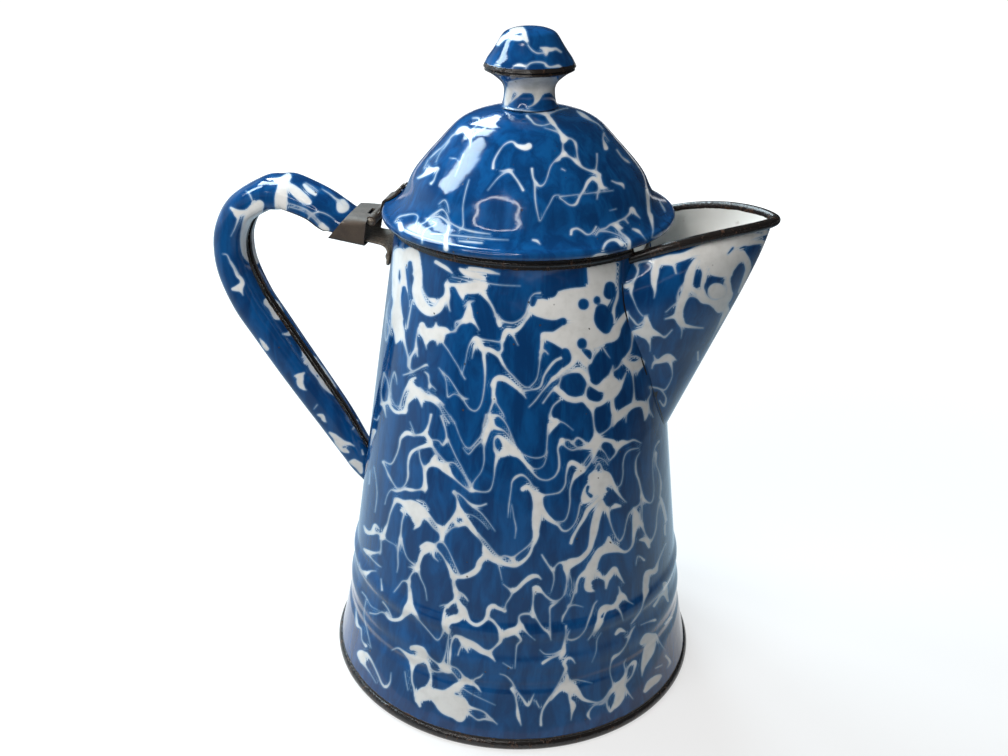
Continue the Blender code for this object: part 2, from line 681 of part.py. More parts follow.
def handle_bracket(surface, parent):
    """Strap with a tongue inside the sleeve and a flange down the body."""
    right, along = sleeve_bottom()
    up = Vector((-along.z, 0, along.x))
    seat = right + up * (TIN + GAP + STRAP / 2)
    offset = GAP / math.cos(CONE_ANGLE) + STRAP / 2

    def flange(height):
        return Vector((-wall_radius(height) - offset, 0, height))

    down = (flange(FLANGE_BOTTOM) - flange(RIM_BEAD_HEIGHT)).normalized()
    gap = flange(seat.z) - seat
    corner = seat + along * (gap.x / along.x)
    corner = flange(corner.z)
    before = corner - along * STRAP_BEND
    after = corner + down * STRAP_BEND
    path = [seat - along * TONGUE_LENGTH, seat]
    bends = 6
    for n in range(bends + 1):
        t = n / bends
        path.append(before * (1 - t) ** 2 + corner * 2 * t * (1 - t) + after * t * t)
    path.append(flange(FLANGE_BOTTOM))
    line = [(point.x, point.z) for point in path]
    rings = []
    for i, ((x, z), left) in enumerate(zip(line, side_steps(line))):
        share = min(max((i - 1) / (len(line) - 3), 0.0), 1.0)
        half = TONGUE_HALF_WIDTH + (FLANGE_HALF_WIDTH - TONGUE_HALF_WIDTH) * share
        side = Vector((left[0], 0, left[1])) * (STRAP / 2)
        middle = Vector((x, 0, z))
        across = Vector((0, half, 0))
        rings.append([middle + side - across, middle + side + across,
                      middle - side + across, middle - side - across])
    return lofted("handle_bracket", rings, surface, parent)


def riveted(name, low, high, head_height, location, rotation, pieces, surface, parent):
    """Rivet with domed heads at low and high, and its clearance hole through the pieces."""
    made = placed(rivet(name, low, high, RIVET_RADIUS, RIVET_HEAD_RADIUS, head_height,
                        surface, parent), location, rotation)
    for piece in pieces:
        hole = rod(name + "_hole", HOLE_RADIUS, low - head_height, high + head_height, None, parent)
        cut(piece, placed(hole, location, rotation))
    return made


def lid_outer_line():
    """Outside of the lid from the knob's rivet hole to the top of the edge bead."""
    line = [(KNOB_HOLE_RADIUS, LID_HEIGHT), (LID_FLAT_RADIUS, LID_HEIGHT)]
    line += [(LID_RADIUS * radius, LID_HEIGHT * height) for radius, height in LID_DOME_SHARES]
    line.append((LID_RADIUS - LID_BEAD, LID_BEAD_SIZE))
    return line


def lid_outline():
    """Outline of the lid's sheet with its rolled edge."""
    line = moved_aside(lid_outer_line(), -SHEET / 2)[:-1]
    line += arc((LID_RADIUS - LID_BEAD, LID_BEAD), LID_CURL, 90, -160, 6)
    return both_sides(line, SHEET)


def height_on(line, radius):
    """Height at which an outward-running line of (radius, height) points passes a radius."""
    for (r0, z0), (r1, z1) in zip(line, line[1:]):
        if r0 <= radius <= r1:
            return z0 + (z1 - z0) * (radius - r0) / (r1 - r0)
    return line[-1][1]


def lid_seat():
    """Place of the lid's axis and bead bottom, and the rim's height there, from the hinge axis.

    All are measured in the lid's own tilted frame, in which its bead rests on the rim bead.
    """
    run, rise = HINGE_OUT - RIM_BEAD_RADIUS, RIM_BEAD_HEIGHT - HINGE_HEIGHT
    rim_x = run * math.cos(LID_TILT) + rise * math.sin(LID_TILT)
    rim_z = rise * math.cos(LID_TILT) - run * math.sin(LID_TILT)
    axis_x = HINGE_OUT + LID_FORWARD
    aside = rim_x - (axis_x - LID_RADIUS + LID_BEAD)
    reach = RIM_BEAD + LID_BEAD + GAP
    bottom_z = rim_z + math.sqrt(reach ** 2 - aside ** 2) - LID_BEAD
    return axis_x, bottom_z, rim_z


def collar_outline():
    """Outline of the collar: skirt inside the body's mouth and a flat seat over the rim."""
    _, bottom_z, rim_z = lid_seat()
    seat = rim_z + RIM_BEAD + GAP + COLLAR_SEAT_MARGIN - bottom_z
    seat_radius = LID_RADIUS - LID_BEAD_SIZE - GAP
    inner_line = moved_aside(lid_outer_line(), -SHEET)
    top = height_on(inner_line, COLLAR_RADIUS) - GAP
    inside = COLLAR_RADIUS - SHEET
    return [(inside, -COLLAR_DROP), (COLLAR_RADIUS, -COLLAR_DROP), (COLLAR_RADIUS, seat),
            (seat_radius, seat), (seat_radius, seat + SHEET), (COLLAR_RADIUS, seat + SHEET),
            (COLLAR_RADIUS, top), (inside, top)]


def leaf_line():
    """Middle line of the hinge leaf, from the knuckle over the bead and up the lid's flare."""
    axis_x, bottom_z, _ = lid_seat()
    lift = GAP + TIN / 2
    bead_x = axis_x - LID_RADIUS + LID_BEAD
    bead_z = bottom_z + LID_BEAD
    knuckle_top = KNUCKLE_RADIUS - TIN / 2
    points = [(0, knuckle_top), (KNUCKLE_RADIUS, knuckle_top)]
    points += arc((bead_x, bead_z), LID_BEAD + lift, 170, 95, 4)
    flare = [(r, z) for r, z in moved_aside(lid_outer_line(), lift)[:-1] if r > LEAF_END_RADIUS]
    points += [(axis_x - r, bottom_z + z) for r, z in flare[::-1]]
    points.append((axis_x - LEAF_END_RADIUS,
                   bottom_z + height_on(moved_aside(lid_outer_line(), lift), LEAF_END_RADIUS)))
    return points


def lid_hinge_leaf(surface, parent):
    """Leaf of the hinge with the middle knuckle, narrow at the pin and wide on the lid."""
    line = smooth_curve(leaf_line(), 14)
    clear = 2 * KNUCKLE_RADIUS
    rings = []
    for (x, z), left in zip(line, side_steps(line)):
        share = min(max((math.hypot(x, z) - clear) / clear, 0.0), 1.0)
        half = MIDDLE_KNUCKLE_HALF + (LEAF_HALF_WIDTH - MIDDLE_KNUCKLE_HALF) * share
        side = Vector((left[0], 0, left[1])) * (TIN / 2)
        middle = Vector((x, 0, z))
        across = Vector((0, half, 0))
        rings.append([middle + side - across, middle + side + across,
                      middle - side + across, middle - side - across])
    made = lofted("lid_hinge_leaf", rings, surface, parent)
    fused(made, knuckle("knuckle_middle", KNUCKLE_RADIUS, PIN_HOLE_RADIUS, -MIDDLE_KNUCKLE_HALF,
                        MIDDLE_KNUCKLE_HALF, surface, parent))
    bore = rod("knuckle_bore", PIN_HOLE_RADIUS, -MIDDLE_KNUCKLE_HALF - GAP, MIDDLE_KNUCKLE_HALF + GAP,
               None, parent)
    bore.rotation_euler = (-math.pi / 2, 0, 0)
    cut(made, bore)
    return made


def neck_outline():
    """Outline of the knob's neck: foot on the lid, waist and flare up to the seam."""
    foot = LID_HEIGHT + GAP
    rise = KNOB_SEAM_HEIGHT - GAP - SHEET - foot
    line = [(KNOB_HOLE_RADIUS, foot), (NECK_FOOT_RADIUS, foot)]
    line += [(NECK_RADIUS + (NECK_FOOT_RADIUS - NECK_RADIUS) * out, foot + rise * share)
             for share, out in NECK_SHARES]
    line += [(NECK_RADIUS + (KNOB_SEAM_RADIUS - NECK_RADIUS) * out, foot + rise * share)
             for share, out in NECK_FLARE_SHARES]
    return line + moved_aside(line, SHEET)[::-1]


def cap_outline():
    """Outline of the knob's domed cap."""
    rise = KNOB_TOP - KNOB_SEAM_HEIGHT
    line = [(0, KNOB_TOP)]
    line += [(KNOB_SEAM_RADIUS * radius, KNOB_SEAM_HEIGHT + rise * height)
             for radius, height in KNOB_CAP_SHARES]
    return line + moved_aside(line, -SHEET)[::-1]


def build_pot(surfaces, parent):
    """Body, bottom, spout, handle, clip, bracket and pin."""
    blue, black, tin, wire = surfaces
    shell = turned("body_shell", body_outline(), blue, parent)
    turned("base_plate", base_outline(), black, parent)
    ring = turned("body_rim_wire", arc((RIM_BEAD_RADIUS, RIM_BEAD_HEIGHT), WIRE_RADIUS, 0,
                                       360 * (1 - 1 / WIRE_SIDES), WIRE_SIDES - 1), wire, parent)
    throat = throat_cutter(parent)
    cut(shell, throat)
    cut(ring, throat)
    cone = cone_cutter(parent)
    cut(spout_shell(blue, parent), cone)
    path = [spout_rim(turn)[0] for turn in spout_turns(20)]
    cut(tube("spout_rim_wire", path, WIRE_RADIUS, wire, parent), cone)
    cut(handle_shell(blue, parent), cone)
    clip = handle_clip(tin, parent)
    strap = handle_bracket(tin, parent)
    place = -wall_radius(BRACKET_RIVET_HEIGHT)
    lean = (0, CONE_ANGLE - math.pi / 2, 0)
    for name, side in (("bracket_rivet_left", -1), ("bracket_rivet_right", 1)):
        location = (place, side * BRACKET_RIVET_SPACING / 2, BRACKET_RIVET_HEIGHT)
        riveted(name, -SHEET - BRACKET_HEAD_RELIEF - GAP, GAP + STRAP + GAP, RIVET_HEAD_HEIGHT, location, lean,
                (shell, strap), tin, parent)
    right, along = sleeve_bottom()
    riveted("clip_rivet", -GAP, TIN + GAP + STRAP + GAP, RIVET_HEAD_HEIGHT,
            right - along * (TONGUE_LENGTH / 2), (0, math.atan2(-along.z, along.x), 0), (clip, strap),
            tin, parent)
    pin = rivet("hinge_pin", -OUTER_KNUCKLE_END - GAP, OUTER_KNUCKLE_END + GAP, PIN_RADIUS,
                PIN_HEAD_RADIUS, PIN_HEAD_HEIGHT, tin, parent)
    on_hinge(pin)


def build_lid(surfaces, hinge):
    """Lid, collar, leaf and knob, all carried by the hinge axis."""
    blue, _, tin, wire = surfaces
    axis_x, bottom_z, _ = lid_seat()
    centre = pivot("lid_axis", (axis_x, 0, bottom_z), (0, 0, 0), hinge)
    shell = turned("lid_shell", lid_outline(), blue, centre)
    turned("lid_collar", collar_outline(), blue, centre)
    leaf = lid_hinge_leaf(tin, hinge)
    outer = lid_outer_line()
    i = max(n for n, point in enumerate(outer) if point[0] < LEAF_RIVET_RADIUS_AT)
    run, fall = outer[i + 1][0] - outer[i][0], outer[i + 1][1] - outer[i][1]
    lean = (0, math.atan2(fall, run), 0)
    for name, side in (("leaf_rivet_left", -1), ("leaf_rivet_right", 1)):
        location = (axis_x - LEAF_RIVET_RADIUS_AT, side * LEAF_RIVET_SPACING / 2,
                    bottom_z + height_on(outer, LEAF_RIVET_RADIUS_AT))
        riveted(name, -SHEET - LEAF_HEAD_RELIEF - GAP, GAP + TIN + GAP, LEAF_HEAD_HEIGHT, location, lean,
                (shell, leaf), tin, hinge)
    turned("knob_neck", neck_outline(), blue, centre)
    turned("knob_cap", cap_outline(), blue, centre)
    under = LID_HEIGHT - SHEET - GAP
    turned("knob_washer", [(KNOB_HOLE_RADIUS, under - SHEET), (WASHER_RADIUS, under - SHEET),
                           (WASHER_RADIUS, under), (KNOB_HOLE_RADIUS, under)], wire, centre)
    rivet("knob_rivet", under - SHEET - GAP, LID_HEIGHT + GAP + SHEET + GAP, KNOB_RIVET_RADIUS,
          KNOB_RIVET_HEAD_RADIUS, KNOB_RIVET_HEAD_HEIGHT, wire, centre)


def main():
    """Clears the scene and builds the pot."""
    for old in list(bpy.data.objects):
        bpy.data.objects.remove(old, do_unlink=True)
    surfaces = (material("blue_enamel", (0.010, 0.080, 0.265), 0.18, 0.0),
                material("black_enamel", (0.012, 0.010, 0.009), 0.35, 0.0),
                material("aged_tin", (0.080, 0.055, 0.038), 0.55, 0.8),
                material("iron_wire", (0.10, 0.09, 0.08), 0.5, 0.9))
    pot = pivot("pot_axis", (AXIS_X, 0, 0), (0, 0, 0))
    build_pot(surfaces, pot)
    hinge = pivot("lid_hinge_axis", (-HINGE_OUT, 0, HINGE_HEIGHT), (0, -LID_TILT, 0), pot)
    build_lid(surfaces, hinge)
    bpy.context.view_layer.update()


main()
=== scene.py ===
"""Enamelled coffee pot: smooth sheet-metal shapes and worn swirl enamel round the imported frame."""

import json
import math

import bmesh
import bpy
import numpy as np
from bpy.props import FloatProperty, FloatVectorProperty, PointerProperty
from mathutils import Matrix, Vector


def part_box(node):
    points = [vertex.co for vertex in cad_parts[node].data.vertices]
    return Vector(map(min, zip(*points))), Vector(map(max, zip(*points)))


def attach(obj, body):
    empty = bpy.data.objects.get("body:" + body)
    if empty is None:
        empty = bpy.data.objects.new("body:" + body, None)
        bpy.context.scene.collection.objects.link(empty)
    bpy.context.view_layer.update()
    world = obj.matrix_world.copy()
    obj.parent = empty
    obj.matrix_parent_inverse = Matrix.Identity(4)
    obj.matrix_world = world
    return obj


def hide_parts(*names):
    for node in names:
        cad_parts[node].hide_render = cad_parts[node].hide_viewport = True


bl_info = {
    "name": "Swirl Enamel Coffee Pot",
    "version": (1, 0, 0),
    "blender": (4, 5, 0),
    "location": "3D View > Sidebar > Coffee Pot",
    "description": "Builds an enamelled coffee pot, its worn finishes and its stage",
    "category": "Object",
}

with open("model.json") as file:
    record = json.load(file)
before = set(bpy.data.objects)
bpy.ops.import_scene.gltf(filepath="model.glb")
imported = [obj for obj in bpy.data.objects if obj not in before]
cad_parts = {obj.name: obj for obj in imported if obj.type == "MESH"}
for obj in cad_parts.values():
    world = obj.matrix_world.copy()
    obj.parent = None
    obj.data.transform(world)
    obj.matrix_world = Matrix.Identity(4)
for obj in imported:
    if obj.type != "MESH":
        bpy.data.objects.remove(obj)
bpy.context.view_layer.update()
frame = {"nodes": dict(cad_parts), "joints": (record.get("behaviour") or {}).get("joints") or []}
HINGE = frame["joints"][0]["pos_m"]
DEPTH_LIMIT = 0.01

# Light: way to the window panes, the ring lamp's place, size and glow, the glow of the floor near the
# pot, the pale left side of the dark room that reflections see, and the even light of the world
WINDOW_WAY = (-0.589, 0.368, 0.719)
WINDOW_POWER = 7.4
PANE_WIDE, PANE_HIGH, PANE_STEP = 0.28, 0.42, 0.38
FRONT_SIZE = 0.30
RING_CENTRE = (-0.109, -0.323, 0.427)
RING_AXIS = (0.38, 0.85, -0.62)
RING_RADIUS = 0.135
RING_HALF = 0.009
RING_GLOW = 20.0
FRONT_POWER = 1.9
FLOOR_GLOW = 0.62
FLOOR_HALF = 6.0
OPEN_SIDE = 0.85
OPEN_TINT = (0.62, 0.85, 1.0)
OPEN_WAY = (-0.978, 0.208)
NEAR_GLOW = 0.8
ROOM_DARK = 0.06
EVEN_LIGHT = 0.31

# Places round the body axis and sizes of the small parts, in metres
HINGE_REACH = 0.0566
RIBS = ((0.048, 0.010, 0.0009), (0.035, 0.011, 0.0006), (0.0255, 0.007, -0.0005))
FLARE_HEIGHT, FLARE_DEPTH = 0.034, 0.0022
THROAT = ((0.118, 0.002), (0.1822, 0.0210), 0.1830)
THROAT_EDGE = 0.1165
SLEEVE_TOP = ((-0.0650, 0.1842), (-0.0572, 0.1835))
SLEEVE_LOW = ((-0.0727, 0.1750), (-0.0586, 0.1731))
SLEEVE_HALF = 0.0120
KNUCKLE_RADIUS, BORE_RADIUS, POCKET_RADIUS = 0.0019, 0.0012, 0.0017
NOTCH_HALF, KNUCKLE_END, PIN_HALF, POCKET_END = 0.0033, 0.0082, 0.0085, 0.0095
BRACKET_RIVET_HEIGHT, CLIP_RIVET_INSIDE = 0.1680, 0.0055
RIVET, PIN = (0.0009, 0.0018, 0.0009), (0.0009, 0.0014, 0.0007)
BRACKET_LOW, BRACKET_HIGH = 0.1650, 0.1715
BRACKET_HALF, BRACKET_BEND, BRACKET_INSIDE = 0.0080, 0.0040, 0.0110
HANDLE_TOP, HANDLE_WIDTH = 0.1956, 0.0218
BASE_HEIGHT = 0.0046
NECK_WAIST, NECK_FOOT = 0.0090, 0.0100
COLLAR_DEPTH = 0.0080


# Swirls, a few painted reflections among them, laid over what the camera sees. Each run is x, y and
# half width, place after place, in picture pixels, the half width in tenths; every later x and y is the
# step from the one before.

PICTURE_WIDTH, PICTURE_HEIGHT = 1008, 756
# Most white runs are swirls of white enamel; a few are painted reflections and a painted highlight, marked
# below.
WHITE_RUNS_AND_REFLECTIONS = (
    (399, 254, 60, 0, 21, 70, 1, 25, 80, -3, 20, 60, 2, 13, 50, -3, 10, 12), (402, 333, 25, 3, 12, 13, 3,
    12, 10, 1, 10, 12, 4, 5, 7), (394, 288, 6, -6, 17, 6, -1, 13, 6, 4, 17, 7), (392, 322, 7, -3, 10, 7, -3,
    9, 8, -1, -11, 7, 1, -22, 6), (411, 256, 90, 7, 19, 45, -1, 15, 50, 4, 13, 55, 8, 8, 50, 8, -2, 45, 5,
    -7, 40, 5, -6, 30, 0, -11, 20, 0.5, -5, 8), (412, 301, 10, -2, 11, 10, -3, 16, 12), (421, 284, 10, 3, 8,
    8, 4, 6, 12, 6, 3, 30), (436, 262, 20, 10, 6, 20, 6, 5, 10), (460, 269, 15, 7, 4, 35, 10, 3, 35, 7, 2,
    # The run from (452, 277) on the next line is a painted highlight streak, a reflection on the body just
    # under the lid.
    20), (470, 269, 25, 15, 2, 25, 14, 3, 10), (452, 277, 5, 28, 5, 7, 20, 3, 6, 20, 1, 4), (447, 285, 25,
    8, 0, 20, 7, 3, 50, 8, 0, 60, 9, -1, 60, 4, -1, 50), (483, 293, 30, 5, 7, 16, 4, 6, 13, 3, 7, 12, 3, 7,
    16, 2, 5, 18), (462, 292, 40, 1, 8, 8), (447, 296, 25, 1, 8, 15, 2, 7, 7), (469, 303, 15, 0, 7, 32, -1,
    7, 46, -2, 3, 35), (464, 320, 20, -5, 5, 12, -4, 6, 10), (462, 321, 15, -6, 1, 10, -1, 5, 6), (472, 320,
    25, 4, 5, 12, 3, 5, 7), (464, 306, 6, 5, -4, 12, 5, -1, 5), (422, 325, 30, 2, 7, 50, 8, 2, 60, 6, -1,
    60, 6, -2, 40, 6, 1, 13, 5, -1, 10), (436, 330, 30, 0, -7, 10), (427, 338, 40, -1, 6, 15, 0.5, 5, 5),
    (438, 338, 30, -0.5, 7, 8), (419, 329, 15, -2.5, 8, 9, -0.5, 10, 14, 1.5, 9, 10), (416, 349, 16, -5, 8,
    13, -2, 9, 13), (441, 337, 40, 2, 6, 12, 5, 7, 7, 5, 8, 6, 5, 8, 6, 4, 8, 7, 3, 5, 8), (403.5, 375, 8,
    7.5, -2.5, 10, 9, -4.5, 10, 6, -3, 14, 2, 1, 6), (415, 378, 15, -4, 3, 22, 1, 7, 45, 6, 5, 45, 7, 4, 35,
    8, 2, 30, 7, 3, 16, 4, 3, 8), (409, 386, 20, -4, 5, 13, -3, 8, 10, -2, 8, 12), (411, 396, 40, -4, 7, 20,
    -2, 9, 20), (421, 398, 30, 1, 9, 7), (420, 388, 10, 5, 3.5, 7, 5, 1.5, 7, 6, 5, 10), (434, 401, 20, 5,
    6, 9, 4, 7, 8, 6, 9, 10), (440, 403, 10, 6, 8, 5, 9, 12, 5), (425, 372, 8, 3, 3, 12, 1, 6, 9, 1, 5, 15,
    -1, 3, 6), (430, 386, 12, 3, 1, 8, 3, 3, 5), (439, 368, 6, 4, 5, 10, 5, 4, 7, 5, 7, 7, 5, 8, 8, 5, 7,
    10, 3, 5, 8, 4, 5, 8, 5, 2, 9, 4, -3, 8, 3, -7, 8, 2, -11, 9, 1, -12, 11, 0, -10, 15, -1, -10, 18, 0,
    -8, 20), (443, 373, 8, 3, 8, 6, 1, 10, 6, 1, 6, 10, 6, -3, 6, 6, 2, 7, 3, 2, 12, 5, 1, 5), (462, 374, 6,
    3, -10, 5, 2, -11, 5, 2, -7, 8, 3, -5, 15, 4, -2, 30, 3, 5, 35, 4, 5, 30, 7, 1, 25, 7, 4, 22, 3, 4, 18,
    3, 6, 15, 5, 7, 11, 7, 7, 9, 7, 7, 8, 6, 2.5, 8, 5, -3.5, 8, 4, -6, 7, 2, -10, 7, 1, -10, 10), (478,
    340, 20, 7, 0, 9, 8, 1, 8, 7, 1, 10, 3, -2, 15), (475, 346, 20, -2, 7, 8, -1, 5, 5), (498, 354, 15, 4,
    -4, 15, 0, -7, 15, 2, -7, 25, 3, -5, 30, 7, 0, 25, 6, -4, 20, 5, -6, 15, 4, -6, 20), (512, 333, 20, 3,
    6, 10, 3, 6, 5), (500, 325, 18, -1, -4, 20, 6, 1, 12, 8, 1, 10, 7, -3, 10, 6, -6, 14, 2, -8, 10, 2, -7,
    8, 4, -5, 8, 6, -1, 12), (495, 316, 7, 3, -1, 6, 3, 5, 8), (493, 385, 25, 2, -5, 25, 5, -2, 30, 7, 2,
    28, 8, 6, 22, 6, 5, 18, 5, 7, 6), (521, 391, 13, 9, -1, 9, 10, -3, 12, 4, -11, 12, 5, -8, 15, 6, -7, 15,
    6, -3, 15), (494, 384, 20, -0.5, 8, 20, 0, 8, 15, -2.5, 8, 12, -3, 8, 10, -4, 10, 9), (494, 398, 20, 3,
    6, 8, 5, 8, 9, 3, 6, 5), (384, 373, 8, -2, 9, 8, -1, 10, 6, 1, 10, 12, 2, 5, 15, 2, 10, 5), (384, 373,
    8, 3, 7, 7, 2, 10, 8, 0, 10, 15, 2, 7, 15, 5, 5, 18, 6, 0, 20, 4, -2, 15), (382, 404, 16, 7, -2, 16),
    (391, 395, 6, 0, -12, 7, 3, -11, 8, 2, 5, 8, 1, 7, 4), (391, 397, 5, 4, 8, 6, 5, 2, 6), (373, 418, 8, 4,
    2, 9, 2, -4, 8), (531, 310, 30, 9, -2, 90, 12, 2, 100, 11, -5, 140, 12, 0, 170, 10, 0, 180, 13, -8,
    130), (602, 268, 150, 0, 17, 140), (560, 336, 70, 15, -1, 140, 15, 0, 150, 13, 0, 90, 10, 0, 60, 5, -9,
    40, 6, -9, 30, 3, -5, 13), (546, 336, 40, 10, 2, 60, 14, 5, 90, 13, 7, 100, 2, 10, 50), (575, 355, 60,
    -4, 8, 40, -5, 5, 30, -8, 7, 20, -5, 4, 18, -6, 7, 12, -6, 7, 9, -6, 8, 9, -6, 6, 7), (543, 335, 25, -1,
    10, 20, -1, 8, 15, -1, 5, 10), (541, 352, 15, 4, -1, 12, 3, 3, 8), (553, 379, 18, 7, -3, 12, 10, -4, 15,
    8, -2, 30, 5, 2, 30, 4, 6, 25, 2, 5, 18, 6, 4, 20, 5, 1, 25), (585, 362, 40, 2, 6, 13, 1, 10, 16), (589,
    383, 15, -3, 7, 12, -1, 7, 16), (556, 389, 25, 5, 4, 30, 6, 5, 30, 8, 2, 30, 8, -1, 30, 5, 4, 30, 4, 4,
    30), (557, 388, 18, -5, 3, 12, -4, 5, 10, -5, 7, 10), (557, 388, 15, 2.5, -5, 9, 1.5, -5, 9), (600, 388,
    30, 6, 3, 30, 0, 8, 25, -7, 5, 25, -9, 0, 30), (602, 387, 30, 6, -3, 60, 5, 2, 80, -2, 7, 60, -5, 5,
    30), (611, 379, 30, 1, -8, 12, 1, -5, 8), (619, 386, 30, 4, -6, 15, 3, -7, 10), (612, 371, 10, 6, -3,
    10, 5, -7, 12, 5, -6, 16, 3, -6, 12, 1, -6, 10, 1, -9, 15), (625, 361, 30, 5, 4, 40, 6, 1, 50, 5, -3,
    40), (629, 357, 13, 7, -0.5, 12, 5, 2.5, 12), (632, 369, 25, 1, 9, 10, 1, 12, 8, 0, 11, 18), (638, 369,
    20, -1, 6, 8), (646, 317, 15, 1, 8, 40, -1, 7, 60, -6, 0, 40, -7, 0, 15), (651, 332, 40, 9, 3, 15, 5, 2,
    12, 7, -7, 8), (648, 337, 30, 2, 8, 10, 0, 6, 6), (628, 314, 10, 5, 6, 12, 5, 5, 12, 6, -4, 12, 3, -3,
    10), (626, 286, 25, 5, 0, 25, 0, 7, 15, 3, 8, 7, 4, 9, 7, 5, 6, 8, 5, -1, 5), (635, 263, 16, 3, 7, 13,
    -2, 7, 13, -5, 8, 16), (620, 262, 4, -1.5, 18, 5, -1, 16, 15, -3.5, 12, 16, -1, 12, 25), (602, 346, 12,
    5, 8, 8, 3, 4, 4), (590, 362, 20, 4, -6, 10, 4, -6, 20), (600, 388, 25, 5, -8, 12, 6, -6, 12), (431,
    415, 15, -2, 9, 13, -4, 9, 20, -7, 2, 12, -5, 0, 13, -6, -2, 25, -6, 5, 15, -2, 9, 10, -3, 9, 9, -5, 8,
    10, -7, -3, 7), (410, 422, 5, 3, 8, 7, 1, 5, 10), (426, 434, 18, 4, 9, 25, -5, 3, 22, -7, 2, 15, -6, 4,
    18, -3, 6, 15, -1, 8, 12, 0, 10, 13, -2, 7, 9, -4, 5, 8, -5, 0, 8, -4, -5, 8, -4, -7, 12, -3, -7, 8, -3,
    -7, 13), (430, 443, 20, 5, 7, 10, 6, 7, 8, 5, 6, 12), (434, 450, 10, 3, 6, 12, -2, 5, 20), (430, 441,
    10, 4, -1, 7, 5, 1, 7, 4, 4, 12, 4, -5, 15, 3, 4, 8, 6, 13, 7, 5, 9, 7, 5, 10, 8, 4, 8, 12, 2, 6, 20, 4,
    1, 13, 7, 1, 8, 6, -1, 9, 3, -5, 7, 2, -9, 7, 1, -10, 12, 2, -9, 20), (441, 416, 12, 3, 8, 12, 2, 8, 10,
    1, 9, 14), (435, 457, 20, -1, 5, 35, 6, 3, 35, 6, 4, 40, 4, 5, 23, 6, 6, 11, 7, 6, 9, 7, 5, 13), (446,
    466, 25, 3, -3, 12, 5, 0, 8, 5, 5, 7, 6, 9, 7, 5, 10, 10), (434, 463, 25, -6, 3, 20, -3, 5, 18, 0, 9,
    18, 0, 7, 25, 0, 5, 10), (419, 450, 8, 1, 8, 7, 2, 6, 10, 3, 5, 18), (425, 488, 20, -7, 2, 10, -7, 0,
    18, -6, -1, 15, -8, 2, 15, -6, -1, 9, -4, 6, 5, -2, 8, 5), (395, 499, 12, 3, 1, 22, 6, 3, 30, 7, 4, 70,
    7, 5, 80, 6, 2, 45, 6, 3, 15, 6, 7, 13, 6, 6, 30, 0, 9, 22), (417, 519, 50, 1, 5, 30, -4, 5, 8), (426,
    517, 20, 4, 6, 12, 5, 6, 10, 5, 3, 15), (418, 500, 8, 6, 2, 7, 5, 7, 6), (396, 500, 20, -3, 6, 13, -3,
    8, 10, -2, 8, 10, -3, 8, 18, -3, 8, 20), (383, 537, 20, -5, -4, 13, -6, 0, 20, -5, -1, 20, -3, -6, 10),
    (373, 531, 20, 2, -6, 16, 4, 4, 10), (402, 510, 20, 2, 4, 13, -2, 8, 9, -1, 10, 10, -1, 8, 15, -2, 12,
    9, 0, 13, 8, -1, 7, 5), (401, 539, 15, 3, 11, 8, 4, 9, 6, 7, 6, 12), (383, 537, 8, 5, 4, 5, 7, 4, 5, 3,
    5, 7), (381, 539, 8, 0, 9, 8, -1, 6, 8), (364, 549, 12, 4, 3, 22, 6, 1, 15, 6, -1, 8), (368, 553, 15, 4,
    6, 8, 6, 6, 9, 3, 2, 5), (359, 563, 6, 2, 7, 10, 5, 3, 20, 5, -2, 10, 5, 0, 5), (365, 573, 15, 1, 5, 8),
    (454, 492, 15, 3, 7, 10, 2, 10, 25, 3, 6, 35, 6, 8, 30, 6, 8, 25, 5, 7, 11, 4, 6, 10, 3, 8, 35, 6, 6,
    35, 7, 3, 32, 7, 3, 24, 9, 1, 24, 7, -3, 20, 7, -7, 16, 4, -10, 16, 3, -10, 25), (459, 512, 35, -5, 6,
    25, -5, 5, 18, -4, 6, 25), (455, 521, 20, 3, 4, 20, 8, -2, 24), (446, 534, 8, 6, -6, 8, 6, -2, 10),
    (454, 492, 15, 5, 2, 9, 5, 4, 8, 5, 5, 13, 5, 3, 17, 6, 0, 12, 6, -2, 11), (474, 507, 12, 7, 6, 8, 6, 7,
    7, 8, 11, 4), (467, 514, 6, 7, 2, 5, 8, 6, 6, 6, 7, 5), (486, 415, 10, -2, 9, 10, -2, 10, 10, -5, 7, 8,
    -7, 7, 9, -5, -2, 6, -5, -9, 5, -5, -13, 5, -5, -8, 5), (484, 439, 13, -8, 7, 8, -5, 6, 8, -3, 2, 6, -5,
    -6, 4), (484, 438, 15, 0, 12, 9, 0, 12, 7, -3, 10, 6, -6, 8, 7, -4, 7, 12), (490, 416, 25, 1, 8, 35, -4,
    7, 35, -2, 7, 25, -1, 7, 12), (490, 425, 30, 6, 3, 20, 8, 3, 10, 6, 7, 8, 5, 8, 11, 5, 6, 8, 7, 4, 7, 8,
    2, 7, 7, -1, 7, 4, -4, 8, 1, -10, 8, 1, -11, 11, 2, -7, 25), (494, 416, 20, 5, 0, 12, 6, 6, 8, 5, 10, 7,
    4, 11, 10), (495, 450, 13, -1, -8, 10, 2, -5, 15, 4, 0, 20, 5, 5, 35, 3, 5, 50, 5, 4, 50, 6, 4, 30, 5,
    6, 20, 5, 6, 18, 5, 7, 12, 6, 5, 10, 8, 1, 9, 7, -4, 10, 4, -8, 13, 0, -10, 12, -1, -10, 12, 4, -7, 25),
    (495, 449, 13, 3, 6, 22, 7, -3, 45), (529, 467, 15, 8, 2, 6, 6, -3, 6, 3, -7, 6, 1, -7, 8), (508, 517,
    4, 1, -12, 9, 2, -15, 7, 1, -8, 10, 4, -5, 15, 6, -2, 13, 6, 4, 9, 5, 7, 9, 5, 2, 5), (512, 505, 4, 2,
    13, 6, 2, 10, 9, -1, 10, 4), (478, 534, 12, 7, 7, 8, 7, 8, 6, 7, 8, 12, 5, -1, 10, 5, 1, 12, 4, 3, 20,
    3, 4, 20), (513, 558, 15, 6, -5, 8, 8, -6, 9, 6, -6, 10), (523, 489, 25, 4, -2, 25, 5, 4, 25, 5, 6, 50,
